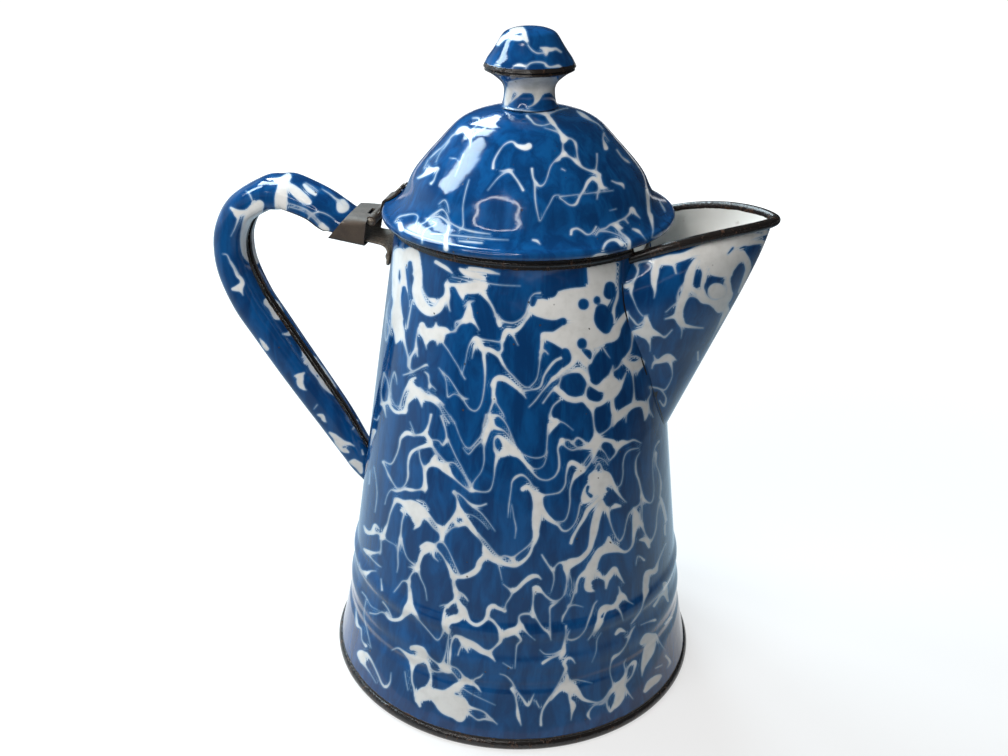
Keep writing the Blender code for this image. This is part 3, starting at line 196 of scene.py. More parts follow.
    1, 9, 50, -1, 10, 50, -1, 10, 40, 0, 10, 25, -1, 6, 15), (540, 496, 30, 5, -1, 12, 8, -1, 9, 7, -2, 10,
    5, -7, 10, 1, -9, 10, 2, -9, 15, 3, -4, 25, 5, 1, 25, 6, 5, 30), (541, 508, 30, 5, 8, 30, 6, 5, 23, 6,
    4, 14, 4, 5, 13, 4, 1, 12, 4, -2, 9, 5, -6, 8, 3, -8, 10, 2, -10, 10), (557, 522, 10, 7, -1, 8, 4, -7,
    8, 2, -12, 9, 0, -12, 10, 3, -10, 15, 4, -6, 30, 5, -4, 30), (422, 547, 25, 5, -3, 25, 5, 3, 35, -5, 2,
    40, -5, 5, 25, -3, 8, 20, -2, 7, 25), (433, 548, 20, 4, -5, 10, 4, -2, 15), (433, 552, 20, 1, 5, 12, 4,
    4, 6), (436, 549, 15, 5, 5, 10, 4, 6, 10, 4, 7, 18, 4, 9, 25), (442, 541, 12, 5, 7, 7, 4, 8, 7, 3, 7, 8,
    5, 11, 10), (417, 568, 20, -8, -1, 6), (418, 570, 15, 3, 9, 7, 4, 9, 6, 2, 12, 5), (416, 569, 15, -5, 6,
    10, -2, 7, 15, 1, 14, 12), (409, 582, 15, -6, -1, 8, -5, 6, 8, -4, 5, 7), (453, 576, 25, 7, 1, 20, 6,
    -1, 25, 7, -3, 30, 5, -5, 30, 2, -6, 30, 6, -6, 30), (454, 578, 20, 0, 7, 13, 2, 7, 20, 4, 5, 12), (498,
    562, 12, 2, 9, 7, 2, 9, 4), (503, 584, 6, 5, 4, 10, 5, 3, 20, 5, -3, 20, 6, -6, 22, 7, -5, 25, 6, -1,
    18, 4, 3, 9), (374, 467, 6, 2, 13, 5, 1, 15, 6, -2, 17, 5), (370, 471, 6, -1, 13, 8), (374, 431, 23, -2,
    7, 15, -3, 12, 6), (381, 579, 7, 1, 11, 12), (550, 415, 10, 2, 5, 25, 4, 2, 30, -4, 5, 25, -3, 6, 12),
    (557, 421, 15, 7, 2, 7, 9, 7, 4), (592, 407, 25, 1, 8, 13, 1, 10, 10, 2, 10, 18), (560, 400, 12, -6, 5,
    10, -3, 6, 10, -1, 7, 12), (596, 434, 18, 1, 7, 50, -5, 4, 40, -5, 2, 25, -7, 1, 12, -7, 2, 10, -4, -1,
    8, -4, -3, 10, -3, -5, 20), (597, 441, 50, -2, 9, 30, -2, 8, 15, -5, 8, 10, -4, 3, 15), (594, 450, 15,
    -5, 6, 9, -5, 7, 9, -2, 5, 13), (600, 440, 30, 6, 0, 20, 7, 2, 25, 4, 4, 32, 5, -3, 30, 6, -1, 15, 6,
    -2, 12, 7, 3, 6), (597, 437, 15, 9, -6, 8, 5, -5, 10, 2, -8, 15), (562, 440, 15, 6, 0, 10, 5, 2, 13, 4,
    -4, 12, 5, 2, 12, 6, 6, 20), (572, 443, 13, 5, 4, 8, 4, 2, 10), (599, 447, 15, 6, 6, 7, 4, 7, 8, 3, -2,
    10, 4, -5, 12, 1, -6, 20), (594, 463, 10, 4, -5, 8, 6, 2, 7, 4, 5, 6), (612, 485, 7, 5, 2, 7, 4, -3, 8,
    2, -10, 7, 0, -10, 8, 2, -9, 8, 5, -5, 9, 9, -2, 6), (640, 452, 4, -4, 8, 9, 0, 12, 13, 3, 9, 12, 2, 9,
    12, 2, 9, 20, 7, 4, 9, 3, -4, 8, 1, -11, 6, -1, -13, 6, 0, -15, 7, 2, -12, 8, 4, -7, 13), (656, 453, 15,
    0, 11, 10, 3, 8, 8, 2, 12, 13, -1, 13, 10), (598, 472, 20, -4, 6, 60, 6, 2, 80, 1, 7, 80, -8, 2, 80, -5,
    7, 65, -4, 5, 30), (594, 472, 10, 5, -9, 10, 4, 8, 14, 4, 5, 40, 5, 7, 26, 4, 7, 20, 5, 7, 12, 5, 5, 7),
    (601, 497, 30, -7, 7, 25, -6, 6, 25, -4, 8, 20, -6, 10, 15, -5, 9, 18, -2, 6, 18), (610, 509, 10, 5, -3,
    25, 5, 0, 15), (603, 503, 30, -4, 7, 40, -3, 10, 40, -2, 10, 40, -2, 10, 30, -2, 8, 25, -4, 6, 25, -7,
    6, 30, -8, 3, 45, -4, 4, 40, 0, 7, 18, 0, 8, 10, -2, 12, 8), (603, 504, 35, 4, 6, 26, 2, 8, 13, 3, 10,
    9, 4, 9, 10, 4, 4, 12, 4, -7, 8, 2, -10, 8, 3, -10, 10, 5, -5, 12, 6, -5, 10, 2, -7, 12), (564, 563, 20,
    -5, 0, 10, -4, 4, 10, -2, 3, 16, -4, -4, 12, -4, -6, 12, -3, -5, 10), (553, 570, 13, 1, 10, 8, -3, 12,
    5), (569, 572, 8, 3, 13, 5, -3, 11, 5), (634, 509, 15, 2, 6, 36, 0, 8, 36, -2, 10, 20, -1, 10, 14, -3,
    6, 12, -5, 3, 15, -6, -2, 25, -6, -2, 45, -7, 1, 45, -6, 3, 40, -4, 6, 40, -4, 9, 45, -4, 5, 40, -7, 4,
    20, -4, 7, 15, -1, 9, 13), (609, 538, 18, 0, 7, 45), (637, 522, 35, 4, 2, 22, 4, 9, 10, 4, 8, 18, 4, -3,
    10, 3, -10, 10, 1, -13, 8, 2, -12, 10), (640, 540, 12, 6, 0, 26, 3, 7, 16), (642, 503, 12, 0, 12, 8, 0,
    9, 12), (661, 499, 16, 3, 11, 18, 2, 10, 16), (665, 525, 14, 0, 10, 12), (666, 543, 8, -4, 9, 10, -4,
    10, 12, -3, 9, 25, -7, 2, 30, -2, 9, 32, -1, 10, 20), (636, 565, 6, 2, -9, 8, 6, 4, 14), (592, 567, 50,
    -2, 11, 46, -2, 10, 35, 6, 3, 10), (598, 574, 30, 5, 4, 18, 5, -1, 30, 4, -5, 30, 3, -3, 25, 3, 5, 20,
    6, 9, 6), (607, 580, 23, -1, 8, 13), (410, 590, 13, 0, 12, 30, -2, 7, 45, -4, 6, 25, -4, 4, 20, -6, 1,
    18, -5, -2, 15, -3, -5, 12), (411, 608, 30, 4, 5, 20, 3, 5, 10), (413, 612, 10, 6, 8, 8, 7, 8, 7, 6, 7,
    7, 5, 5, 9, 4, -3, 8, 3, -8, 12), (383, 602, 10, 5, 7, 8, 3, 7, 10), (370, 613, 10, 6, 1, 8, 6, -2, 8,
    5, 3, 10), (362, 592, 7, 4, 5, 6, 5, 9, 5, 7, 4, 4), (453, 583, 10, 3, 9, 20, -1, 8, 20, -5, 4, 18, -4,
    5, 20, -2, 8, 18, 1, 8, 30, 3, 7, 20), (457, 600, 20, 3, 6, 30, 2, 6, 50, -5, 6, 45, -7, 2, 40, -4, 4,
    35), (465, 614, 30, 5, 8, 18, 7, 3, 20, 6, -3, 18, 4, -5, 20, 2, -8, 25, 4, -3, 25, 5, 2, 20, 7, 3, 16),
    (440, 606, 6, 4, -1, 8, 3, 1, 12), (456, 592, 15, 6, 2, 12, 4, 4, 12, 2, 3, 8), (450, 630, 10, -2, 10,
    7, -2, 12, 8, -3, 11, 15), (449, 665, 12, 1, -10, 15, 1, -10, 10, 3, -8, 15, 5, 0, 20, 6, 5, 40, 8, 3,
    35, 9, 6, 30, 7, 3, 25, 6, 7, 8), (489, 653, 20, 5, -5, 12, 6, -6, 18, 2, -6, 25, 6, -3, 40, 8, -3, 35,
    4, -4, 30), (502, 635, 30, -4, -8, 15, -5, -6, 15, -5, -3, 15), (458, 655, 10, 2, -6, 10, 3, -4, 15),
    (466, 647, 20, 2, 5, 10), (520, 625, 20, -1, -8, 10, 4, -3, 12, 7, 0, 13, 3, 2, 20), (516, 633, 20, 5,
    7, 13, -4, 5, 10, -1, 8, 7, -1, 15, 5), (522, 627, 20, 6, 7, 8, 7, 6, 4), (505, 611, 10, 1, -7, 8, 5,
    -8, 10, 2, -7, 15), (412, 648, 25, 4, 0, 30, 5, 3, 45, 1, 6, 50, -7, 2, 50, -5, -2, 30, -6, -5, 15, -6,
    -4, 10, -6, 2, 6), (424, 653, 20, 6, 5, 12, 8, 6, 12, 6, 3, 40, 4, 3, 30), (413, 663, 35, -1, 8, 15, 0,
    10, 12, 2, 7, 12, 2, 7, 20), (424, 658, 25, 4, 6, 20, 2, 7, 15, 1, 7, 13, -2, 9, 30), (431, 670, 12, 6,
    2, 8, 6, -1, 13, 5, 0, 20, 5, 2, 10, 5, 6, 7), (449, 666, 12, 7, 2, 8, 5, 5, 10, 4, 7, 20), (471, 683,
    20, -6, -2, 35, -7, 5, 35, -8, 6, 45), (470, 682, 15, 5, 3, 15, 3, 3, 15, 3, 4, 6), (472, 683, 15, 3,
    -4, 10, 5, -2, 10, 3, -3, 6), (418, 697, 30, 6, -3, 70, 8, 0, 60, 8, 4, 80, 8, 6, 110, 9, 5, 100, 3, 7,
    60), (447, 698, 80, 13, 4, 60, 8, 5, 25, 8, 2, 12, 8, 3, 10, 6, 6, 13, 7, 6, 7), (418, 700, 30, 2, 6,
    15), (408, 690, 6, -2, -10, 6, -1, -8, 6), (463, 698, 6, -3, -6, 12, -2, -2, 20, -4, 1, 30), (455, 686,
    20, 7, 2, 10, 8, 5, 7, 10, 5, 6, 15, 7, 4), (465, 711, 25, 7, 5, 10, 6, 4, 10, 6, -1, 12, 7, 1, 12),
    (361, 654, 40, 2, 6, 35), (366, 654, 20, 5, 6, 12, 4, 8, 10, 4, 9, 10, 3, 7, 12, 4, 3, 15, 4, -5, 10, 1,
    -9, 5), (364, 664, 15, 6, 9, 6, 6, 10, 5), (356, 606, 5, 1, 18, 15, 4, 5, 10, 1, 11, 7, 4, 6, 16), (366,
    600, 5, -2, 15, 6, 3, 15, 6, 4, 18, 5), (500, 674, 6, 6, 2, 8, 6, 6, 10, 4, 8, 10, 6, 8, 12, 6, 7, 17,
    6, -11, 6), (512, 689, 20, 3, 6, 12, 2, 10, 12, 1, 10, 20, 3, 10, 8), (503, 663, 4, 8, 5, 8), (536, 701,
    9, 3, 6, 9), (534, 588, 20, 3, 1, 35, 5, 3, 15, 5, 5, 12, 6, 4, 13, 6, -1, 8, 5, -5, 6, 3, -9, 5), (534,
    591, 15, -1, 11, 9, 0, 10, 18, 5, 9, 10, 5, 7, 12, 6, 5, 15, 2, 7, 6), (550, 632, 10, 0, -14, 7, 0, -10,
    12, 3, -3, 15, 5, -3, 5), (575, 590, 12, -3, 10, 9, -5, 10, 10, -4, 7, 13, -1, 5, 6), (568, 606, 10, 7,
    -1, 8, 8, 2, 4), (566, 626, 12, 0, 7, 8, -1, 7, 12, -1, 7, 20, -1, 6, 25, -3, 6, 12), (570, 630, 5, -3,
    8, 10, 5, 2, 12, 7, -3, 9, 6, -7, 8, 3, -8, 10, 3, -8, 12, 3, -9, 10, 3, -4, 8), (563, 652, 20, -7, 4,
    12, -7, 3, 15, -6, 4, 18), (560, 652, 15, -7, 2, 8, -8, 0, 8, -5, -4, 5), (575, 663, 8, -3, -4, 13, -4,
    -1, 15, -4, 5, 20, 2, 6, 18, -4, 8, 10, -4, 8, 10, -5, 9, 12, -5, 7, 15, -5, 8, 12, -2, 8, 13, 0, 8,
    15), (567, 674, 12, 0, 7, 30, 1, 7, 50), (551, 699, 15, 7, -8, 23, 6, -5, 40, 7, 1, 50, 6, 5, 34, 6, 7,
    20, 9, 3, 12, 8, 0, 10, 6, -5, 10, 5, -7, 15), (571, 691, 30, -1, 8, 15, 3, 6, 30, -1, 7, 15, -1, 8, 6),
    (572, 681, 13, 6, -1, 8, 14, 3, 3), (590, 719, 8, -2, -4, 16, 2, -5, 10, 5, -5, 9, 7, -1, 10, 5, -6,
    10), (614, 690, 25, 5, -3, 50, 1, 8, 50, -3, 8, 35, -4, 5, 20, -3, 3, 15, -3, -6, 11, 1, -8, 10, 5, -7,
    20), (620, 686, 40, 4, -7, 25, 2, -7, 12, -2, -8, 8, 2, -5, 4), (626, 673, 8, 3, -7, 12, 6, -4, 20, -1,
    8, 12, -3, 7, 10, -5, 5, 13), (624, 688, 20, 5, 6, 12, 4, 5, 5), (615, 688, 20, -3, -8, 8, -2, -8, 6, 1,
    -9, 8, 3, -6, 18, 6, -4, 12, 6, -8, 8, 3, -8, 12), (642, 643, 25, 6, -5, 50, 3, 3, 50, -2, 9, 55, -3, 8,
    40, -3, 9, 22, -1, 9, 7), (655, 635, 20, 5, 8, 9, 5, 7, 5), (645, 691, 20, 5, -7, 36, 6, -5, 36, 4, -3,
    20), (588, 640, 6, 5, -7, 10, 4, -6, 25, 3, -7, 30, 2, -8, 40, 4, -4, 35, 7, -1, 25, 5, -5, 26, 3, -5,
    36, 3, 0, 26, 4, 4, 10, 5, 3, 5), (617, 607, 15, 4, 6, 10, 2, 7, 6), (621, 595, 16, -2, -8, 8), (601,
    622, 20, -4, 8, 10, -3, 6, 6), (601, 633, 4, -4, 7, 6, -1, 12, 5, -4, 10, 3), (616, 634, 16, 4, -4, 23,
    6, 2, 7), (625, 637, 6, 4, -1, 12, 3, -6, 12, 3, -4, 6), (631, 624, 8, 4, -5, 12, 6, -9, 9, 3, -10, 12,
    2, -10, 30), (641, 625, 5, 7, -3, 8, 7, -2, 16), (665, 624, 13, 6, -7, 16), (654, 606, 15, 4, -6, 14, 3,
    -5, 15, 4, -1, 20, 3, 7, 13), (665, 584, 25, 1, 8, 22), (656, 668, 9, 6, -3, 9), (666, 656, 14, 4, 6,
    14, -3, 6, 7), (457, 133, 15, 4, -3, 30, 4, -1, 30, 3, 4, 35, 2, 5, 20, 0, 9, 6), (458, 132, 12, -6, 4,
    10, -4, 5, 8, -6, 6, 6, -7, 6, 10, -5, 5, 6), (449, 141, 7, -4, 6, 6, -5, 6, 5, -4, 9, 6), (473, 118,
    10, 5, 0, 12, 1, 3, 10, -3, 5, 8, -5, 4, 7), (474, 137, 7, 2, -4, 8, 5, -3, 10, 4, -2, 8), (418, 178,
    12, 6, -3, 18, 5, -4, 30, 5, -1.5, 22, 4, -1, 15, -2, 5.5, 9, -2, 6, 9, -3, 3.5, 15), (429, 171, 20, 0,
    -5, 9), (424, 168, 6, 4, -8, 7), (450, 158, 5, 6, 1, 5, 3, 3, 5), (463, 154, 10, -3, 9, 8, -5, 13, 5),
    (469, 180, 5, -3, 10, 7, -3, 15, 6, 0, 13, 7, 0, 8, 8, -4, 5, 5), (488, 190, 4, 9, -11, 6, 6, -5, 8, 6,
    -3, 15, 5, 5, 12, 5, 7, 12, 4, 7, 15), (500, 171, 5, 9, -0.5, 15, 4, -0.5, 7), (493, 168, 15, 1, -7, 12,
    4, -8, 10, 5, -7, 8, 5, -3.5, 10, 5, -0.5, 12, 5, 4, 20, 7, 1.5, 30, 4, -1.5, 30), (400, 224, 25, 1, 5,
    26), (395, 222, 8, 4, -5, 10, 7, -2, 10, 8, -1, 8, 4, 3, 9, -3, 8, 8), (418, 232, 6, 2, -6, 7, 5, -4, 8,
    5, -5, 10, 7, -5, 12, 5, -2.5, 10, 4, 3.5, 8, 3, 7, 8), (439, 204, 5, 5, -4, 9, 3, 3, 7, 2, 9, 6), (422,
    243, 10, 1, -10, 10, 5, -5, 9, 8, -4, 9, -4, -3, 7), (446, 249, 26, 0, -11, 20, 2, -6, 15, 1, -6, 15,
    # The runs from (431, 234), (449, 222) and (459, 241) are painted reflections of the window on the lid's
    # flare.
    -3, -5, 12, -6, -4, 12, -8, 0, 10), (431, 234, 9, 19, 1, 9, 20, 2, 9, 20, 2, 7, 18, 1, 4), (449, 222, 9,
    11, 6, 10, 15, 4, 11, 15, 2, 6), (459, 241, 9, 11, 1, 13, 12, 1, 10), (532, 169, 15, 1, 8, 12, 3, 6, 15,
    4, 3, 12, 4, -2, 8, 3, -6, 7, 3, -10, 7, 4, -6, 8, 5, -3, 15), (535, 184, 12, 0, 11, 10, 1, 10, 9, 2,
    10, 7, 2, 6, 5, 5, -9, 5, 5, -9, 6, 4, -7, 7, 5, -1, 6), (527, 116, 16, 4, 4, 12, 4, 4, 10, 7, 1.5, 8,
    7, -1.5, 7), (503, 108, 8, 7, 1, 10, 10, 1, 10, 10, 1.5, 10, 9, 1.5, 12, 7, 1, 20, 3, 4, 22, 4, 5, 22,
    4, 5, 15, 4, 6, 20, 3, 5, 30, -1, 5, 10, 0, 6, 12, 1, 4, 20), (546, 114, 15, 7, -2, 10, 7, -2.5, 8, 8,
    -1.5, 7), (545, 128, 5, 7, 2, 8, 6, 2, 10), (564, 139, 25, 6, -0.5, 10, 4, 2.5, 12, 2, 4, 15, 1, 8, 8,
    1, 9, 15), (564, 154, 20, -4, 3, 15, -3, 3, 13), (564, 154, 20, 6, 3, 12, 7, 5, 20, 5, 5, 13, 6, 3, 12,
    7, 2, 18, 4, 3, 18), (597, 154, 10, 0, 8, 8, -1, 7, 10, -1, 3, 15), (599, 175, 18, -1, 5, 26, -5, -2,
    20, -5, 4, 18, -4, 8, 14, -4, 6, 13, -4, 8, 15, -6, 1, 10, -6, -4, 8, -4, -4, 9, 10, -1.5, 6, 30, -3.5,
    6, 13, -1.5, 5), (599, 181, 25, 3, 6, 23, 5, 1, 8), (600, 187, 15, -2, 6, 10, -1, 6, 6), (562, 169, 9,
    3, 1.5, 7), (612, 181, 8, 5, 2, 12, 5, 1.5, 17, 2, 3.5, 7), (604, 133, 8, -1, 5, 8, 1, 4, 14, 2, 6, 23),
    (604, 134, 7, 5, 7, 4), (577, 111, 10, 6, 4, 20, 8, 5, 12, 7, 4, 8, 5, 5, 7), (617, 150, 10, 5, 7, 10,
    5, 4, 14, 3, 2, 6), (630, 152, 10, 5, 8, 8, 4, 8, 6), (647, 190, 18, 1, 10, 18, 1, 12, 18, 2, 5, 22, 2,
    13, 8, -1, 7, 5), (660, 202, 10, 3, 5, 11, 2, 4, 8), (571, 234, 15, 1, -4, 15, 5, -1.5, 13, 5, 2.5, 12,
    5, 3.5, 10, 5, -1.5, 10, 4, -6, 12), (596, 235, 10, 4, -5, 10, 6, -2, 10, 4, -3, 12, 5, -1, 15, 4, -3,
    12, 6, -3, 10, 5, -5, 15, 2, -4, 23, 4, 5, 15, 4, 4, 6), (625, 219, 10, 3, 4, 9), (614, 224, 12, 3, 2,
    23, 5, 2, 12), (617, 226, 20, 3, 6, 13, 5, 4, 13, 4, 5, 18, 0, 7, 20), (600, 231, 10, 10, 1, 8, 10, 4,
    8, 7, 5, 10), (603, 249, 13, 3, -6, 15, 5, -3, 15, 6, 0, 20, 5, 4, 25), (633, 229, 12, 5, 2, 18, 4, 4,
    8, 4, 5, 5), (610, 210.5, 5, 6, -1.5, 6), (533, 240, 12, 4, 1, 15, 3, 3, 7), (512, 30, 25, 6, -1, 35, 5,
    1, 25, 2, 7, 25, 2, 4, 18), (512, 37, 30, 6, 1, 30, 5, 0, 20), (507, 36, 25, -5, 3, 25, -4, 5, 20),
    (528, 45, 8, 4, 5, 9, 5, 3, 10, 6, 0, 8, 3, 1, 12), (541, 48, 12, 5, 1, 22, 5, 0.5, 20, 5, -0.5, 15, 5,
    3, 11), (546, 51, 25, 0, 4, 10), (514, 66, 10, 5, -1, 18, 6, 1, 14), (527, 66, 10, 4, -3, 10, 7, -1, 10,
    6, 1, 12, 3, 3, 15, 4, 1, 12, 7, -1, 16, 3, 1, 10), (495, 65, 12, 5, 1, 8), (500, 75, 6, 4, 5, 6, 5, 4,
    10), (511, 84, 30, 9, -1, 40, 10, -1, 50, 11, -2, 50, 11, -1, 50), (510, 90, 40, -2, 7, 35, -2, 7, 20),
    (517, 88, 50, 11, -1, 60, 12, -1, 80, 12, -1, 70), (538, 93, 50, -1, 6, 26, -3, 5, 13, -5, 3, 9), (520,
    93, 20, -6, 6, 12, -6, 5, 8), (554, 92, 30, 2, 7, 9), (273, 179, 13, 8, 1, 30, 7, -3, 30), (288, 176,
    30, -4, 7, 50, -2, 8, 56, -1, 8, 65, 0, 9, 60), (287, 184, 22, 7, 6, 46, 9, 8, 48, 6, 4, 28), (304, 185,
    15, 5, 5, 25, 6, 4, 20), (306, 183, 7, 7, 4, 7, 5, 4, 5), (322, 189, 6, 8, 5, 10, 6, 5, 13, 6, 3, 15),
    (339, 204, 25, 2, 5, 40, 5, -2, 35, -3, -5, 30), (288, 203, 8, 9, 3, 9, 8, 3, 10, 7, 5, 10, 6, 6, 10, 5,
    6, 16), (290, 207, 8, 10, 3, 7, 8, 4, 7, 8, 7, 8, 5, 6, 10), (334, 219, 4, -8, -5, 8, -8, -2, 10, -7, 3,
    10, -3, 5, 9, 2, 6, 8), (322, 226, 30, 4, 4, 35), (257, 208, 8, -4, -6, 8, -3, -7, 10, -4, -4, 5), (231,
    208, 14, 4, 3, 24, 4, 2, 30, 6, -1, 22), (237, 214, 30, 1, 5, 15, -3, 9, 8, -4, 8, 5), (223, 254, 8, 4,
    1, 8, 3, 6, 10, 4, 7, 12, 3, 7, 15, 4, 4, 20, 1, 5, 26, -4, 4, 30, -5, 1, 18), (231, 263, 8, 5, 7, 8, 3,
    7, 10), (240, 288, 26, 3, 7, 7), (259, 205, 50, -5, 8, 80, -4, 12, 80, -2, 15, 80, 2, 12, 80, 4, 7, 60),
    (268, 302, 44, 6, 4, 60, 4, 8, 60), (283, 334, 10, 5, 0, 20, 5, -2, 30, 4, 5, 30, 3, 6, 20, 3, 7, 20, 1,
    6, 18, -2, 1.5, 10), (306, 362, 25, 5, -2, 50, 4, 7, 60, 6, 7, 60, 5, 8, 60, 5, 6, 50, 3, 5, 25), (353,
    429, 12, 3, -4, 15, 1, -4, 15), (362, 450, 10, 1, 4, 14), (260, 339, 10, 4, 6, 23, 3, 4, 21), (295, 376,
    12, 5, 1, 30, 0, 6, 34, 3, 5, 20, 3, 2, 8), (300, 376, 23, 4, -3, 12), (314, 409, 5, 3, -4, 8), (318,
    415, 12, 4, 1, 22, 2, 4, 18, 2, 2, 8), (330, 433, 15, 4, 3, 25, 5, 5, 35, 5, 2, 25, 6, 1, 15, 4, 2, 8),
    (338, 443, 30, 5, 6, 30, 5, 3, 15), (350, 462, 15, 4, 1, 30, 5, 4, 34, 2, 5, 20), (354, 461, 20, 7, 3,
    15), (636, 263, 12, 12, -2, 12, 8, 1, 30, 12, -2, 50, 14, -3, 40, 13, -5, 45, 15, -4, 70, 15, -4, 80,
    15, -4, 70, 12, -4, 40, 14, -4, 30), (708, 258, 80, 12, 4, 100, 13, -5, 90, -5, 14, 60, -14, -1, 60),
    (657, 262, 30, -2, 10, 40, -1, 10, 30, 1, 9, 15, -1, 7, 5), (676, 273, 12, -2, -7, 16, -3, -4, 30),
    (699, 258, 30, -5, 7, 35, -4, 10, 45, -2, 10, 45, -4, 11, 40, -3, 8, 40, -2, 8, 40, 1, 8, 40, 4, 5, 24,
    8, 2, 15, 11, 1, 10), (690, 288, 30, 7, 4, 30, 7, 5, 30, 8, 5, 30, 10, 0, 50, 6, -8, 50, -1, -9, 40),
    (702, 265, 40, 3, 7, 30, -2, 12, 25, 0, 9, 30), (687, 283, 14, -6, 4, 10, -3, 6, 8, -1, 6, 10, 4, 3,
    20), (681, 301, 20, -7, 4, 8, -8, 7, 8), (679, 316, 40, -6, 1, 18, -8, 2, 9), (680, 322, 20, 2, 9, 8,
    -1, 7, 4), (684, 298, 30, 6, -2, 12, 7, 1, 15, 6, 4, 25, 6, 2, 15, 5, 3, 20, 5, 3, 40), (722, 303, 50,
    4, 8, 34, -4, 9, 20, -6, 11, 10, -7, 14, 6), (727, 285, 40, 1, -7, 25, 3, -10, 25, 7, -10, 30), (742,
    254, 40, 5, 8, 36, 1, 8, 30, -4, 12, 26, -5, 10, 15), (748, 243, 30, 8, -1, 25, 8, 1, 25, -2, 9, 20),
    (652, 368, 10, 2, -5, 15, 6, -2, 25, 7, -3, 40, 4, 0, 30, 5, 2, 8), (656, 361, 15, -2, -5, 8), (670,
    361, 23, 2, 8, 10, 0, 8, 6, -4, 9, 8, -4, 4, 10, -7, -2, 10, -7, -1, 10), (698, 352, 12, 0, 8, 12),
    (650, 387, 10, 1, 6, 6, -3, 7, 12, -1, 8, 22), (662, 391, 8, 4, 7, 10, -2, 8, 12, -4, -5, 9), (612, 399,
    20, 1, 10, 25, 4, 7, 40, 5, -3, 40, 8, -6, 30, 7, -3, 30, 7, 1, 34, 2, 7, 30, -1, 8, 10), (617, 418, 30,
    -4, 8, 10), (626, 413, 12, 0, 9, 6), (650, 411, 10, 3, 6, 8),
)
BLUE_DROPS = (
    (410, 263, 32, 0, 8, 42, -0.5, 8, 30), (399.5, 270, 16, 0, 7, 22, 0, 6, 12), (404, 288, 30, 1, 12, 52,
    0.5, 15, 40, -0.5, 9, 13), (391, 292, 12, 0, 10, 30, -1, 12, 15), (583.5, 304, 65, 0, 0.5, 65), (597,
    299.5, 45, 0, 1, 47), (610, 287, 65, 0, 6, 76), (602, 311, 80, 2, 9, 108, 2, 9, 60), (582, 343, 60, 0,
    1, 60), (582, 350.5, 15, 6, 2.5, 45, 2, 5, 26), (547, 325, 35, 8, -1.5, 40, 8, -2, 50), (545, 292, 30,
    6, 1, 60, 6, -3, 30), (534, 299, 46, -1.5, 5, 38), (553, 348, 50, 0, 5, 40), (565, 353, 60, 2, 6, 55,
    -4, 7, 30), (564, 273, 40, 13, 3, 70, 5, 8, 30), (629, 359, 15, 5, 1, 26, 4, -1, 18), (640, 326, 12, 3,
    -2, 16), (622, 266, 20, 1, 14, 25), (459, 519.5, 23, 2, 0, 23), (498, 441, 28, 0.5, 5, 26), (588, 487,
    28, -1, 5, 24, 4, 4, 30), (608, 489, 30, 3, 5, 18), (605, 499, 32, 4, 5, 36, 5, -1, 20), (599, 467, 14,
    -0.5, 3, 26), (580, 582, 25, 2, -3, 30), (595, 583, 45, 4, 0, 40), (646, 567, 20, 1, 1, 20), (448, 611,
    36, 7, 0, 46), (413, 652, 17, 2, 3, 17), (425, 707, 38, 5, 2, 50, 4, 0, 34), (431, 685, 16, 3, 3, 20),
    (456, 693.5, 22, 6, 3.5, 12), (602, 617, 24, 2, -4, 15), (652, 632, 16, 1, -2, 14), (515, 35, 16, 4, -1,
    20, 2, 0, 12), (519, 100, 15, 6, -3, 30, 5, 0, 30, 1, 5, 25), (544, 104, 20, 2, -6, 35, 5, 2, 45), (502,
    76, 25, 2, 7, 25, 1, 5, 13), (511, 76, 20, 8, 0, 24), (317, 375.5, 17, 1, 1, 17), (322, 393, 30, 4, 5,
    30), (343.5, 447, 20, 1.5, 0, 20), (666, 269, 16, 0, 1.5, 16), (678, 272, 16, 6, -5, 40, 4, -3, 20),
    (686, 316, 30, 5, 5, 25), (712, 287, 90, 4, 2, 110), (741, 266, 40, -4, 9, 56, -3, 12, 36, 2, 9, 26),
    (731, 302, 24, 1, 6, 24), (700, 276, 26, -3, 10, 36), (728, 254, 18, 5, -6, 23), (752, 248, 26, 6, 1,
    36, -1, 9, 30), (754, 232, 16, 8, 1, 16),
)
WHITE_DOTS = (
    (716, 291.5, 83, 2, 0, 83),
)
DARK_CRACKS = (
    (622, 283, 8, 1.5, 17, 10, 1.5, 9, 12, 3, 13, 10), (641, 357, 8, 3, 9, 12, 3, 9, 9), (651, 384, 7, 5,
    14, 8, 5, 15, 10, 4, 14, 10), (434, 313, 10, 0.5, 1, 10), (502, 382, 9, 0.5, 0, 9), (494, 399, 9, 0.5,
    0, 9), (589, 328.5, 10, 0.5, 0.5, 10), (580.5, 471, 9, 0.5, 0, 9), (598, 478, 9, 0.5, 0, 9), (610, 542,
    10, 1, 1, 10), (657, 392, 12, -1, 3, 14),
)


def length(name, description, default):
    """A size property in metres."""
    return FloatProperty(name=name, description=description, default=default, unit="LENGTH", precision=5)


def angle(name, description, default):
    """An angle property in radians."""
    return FloatProperty(name=name, description=description, default=default, subtype="ANGLE")


def colour(name, description, default):
    """A colour property."""
    return FloatVectorProperty(name=name, description=description, default=default, size=3,
                               subtype="COLOR", min=0.0, max=1.0)


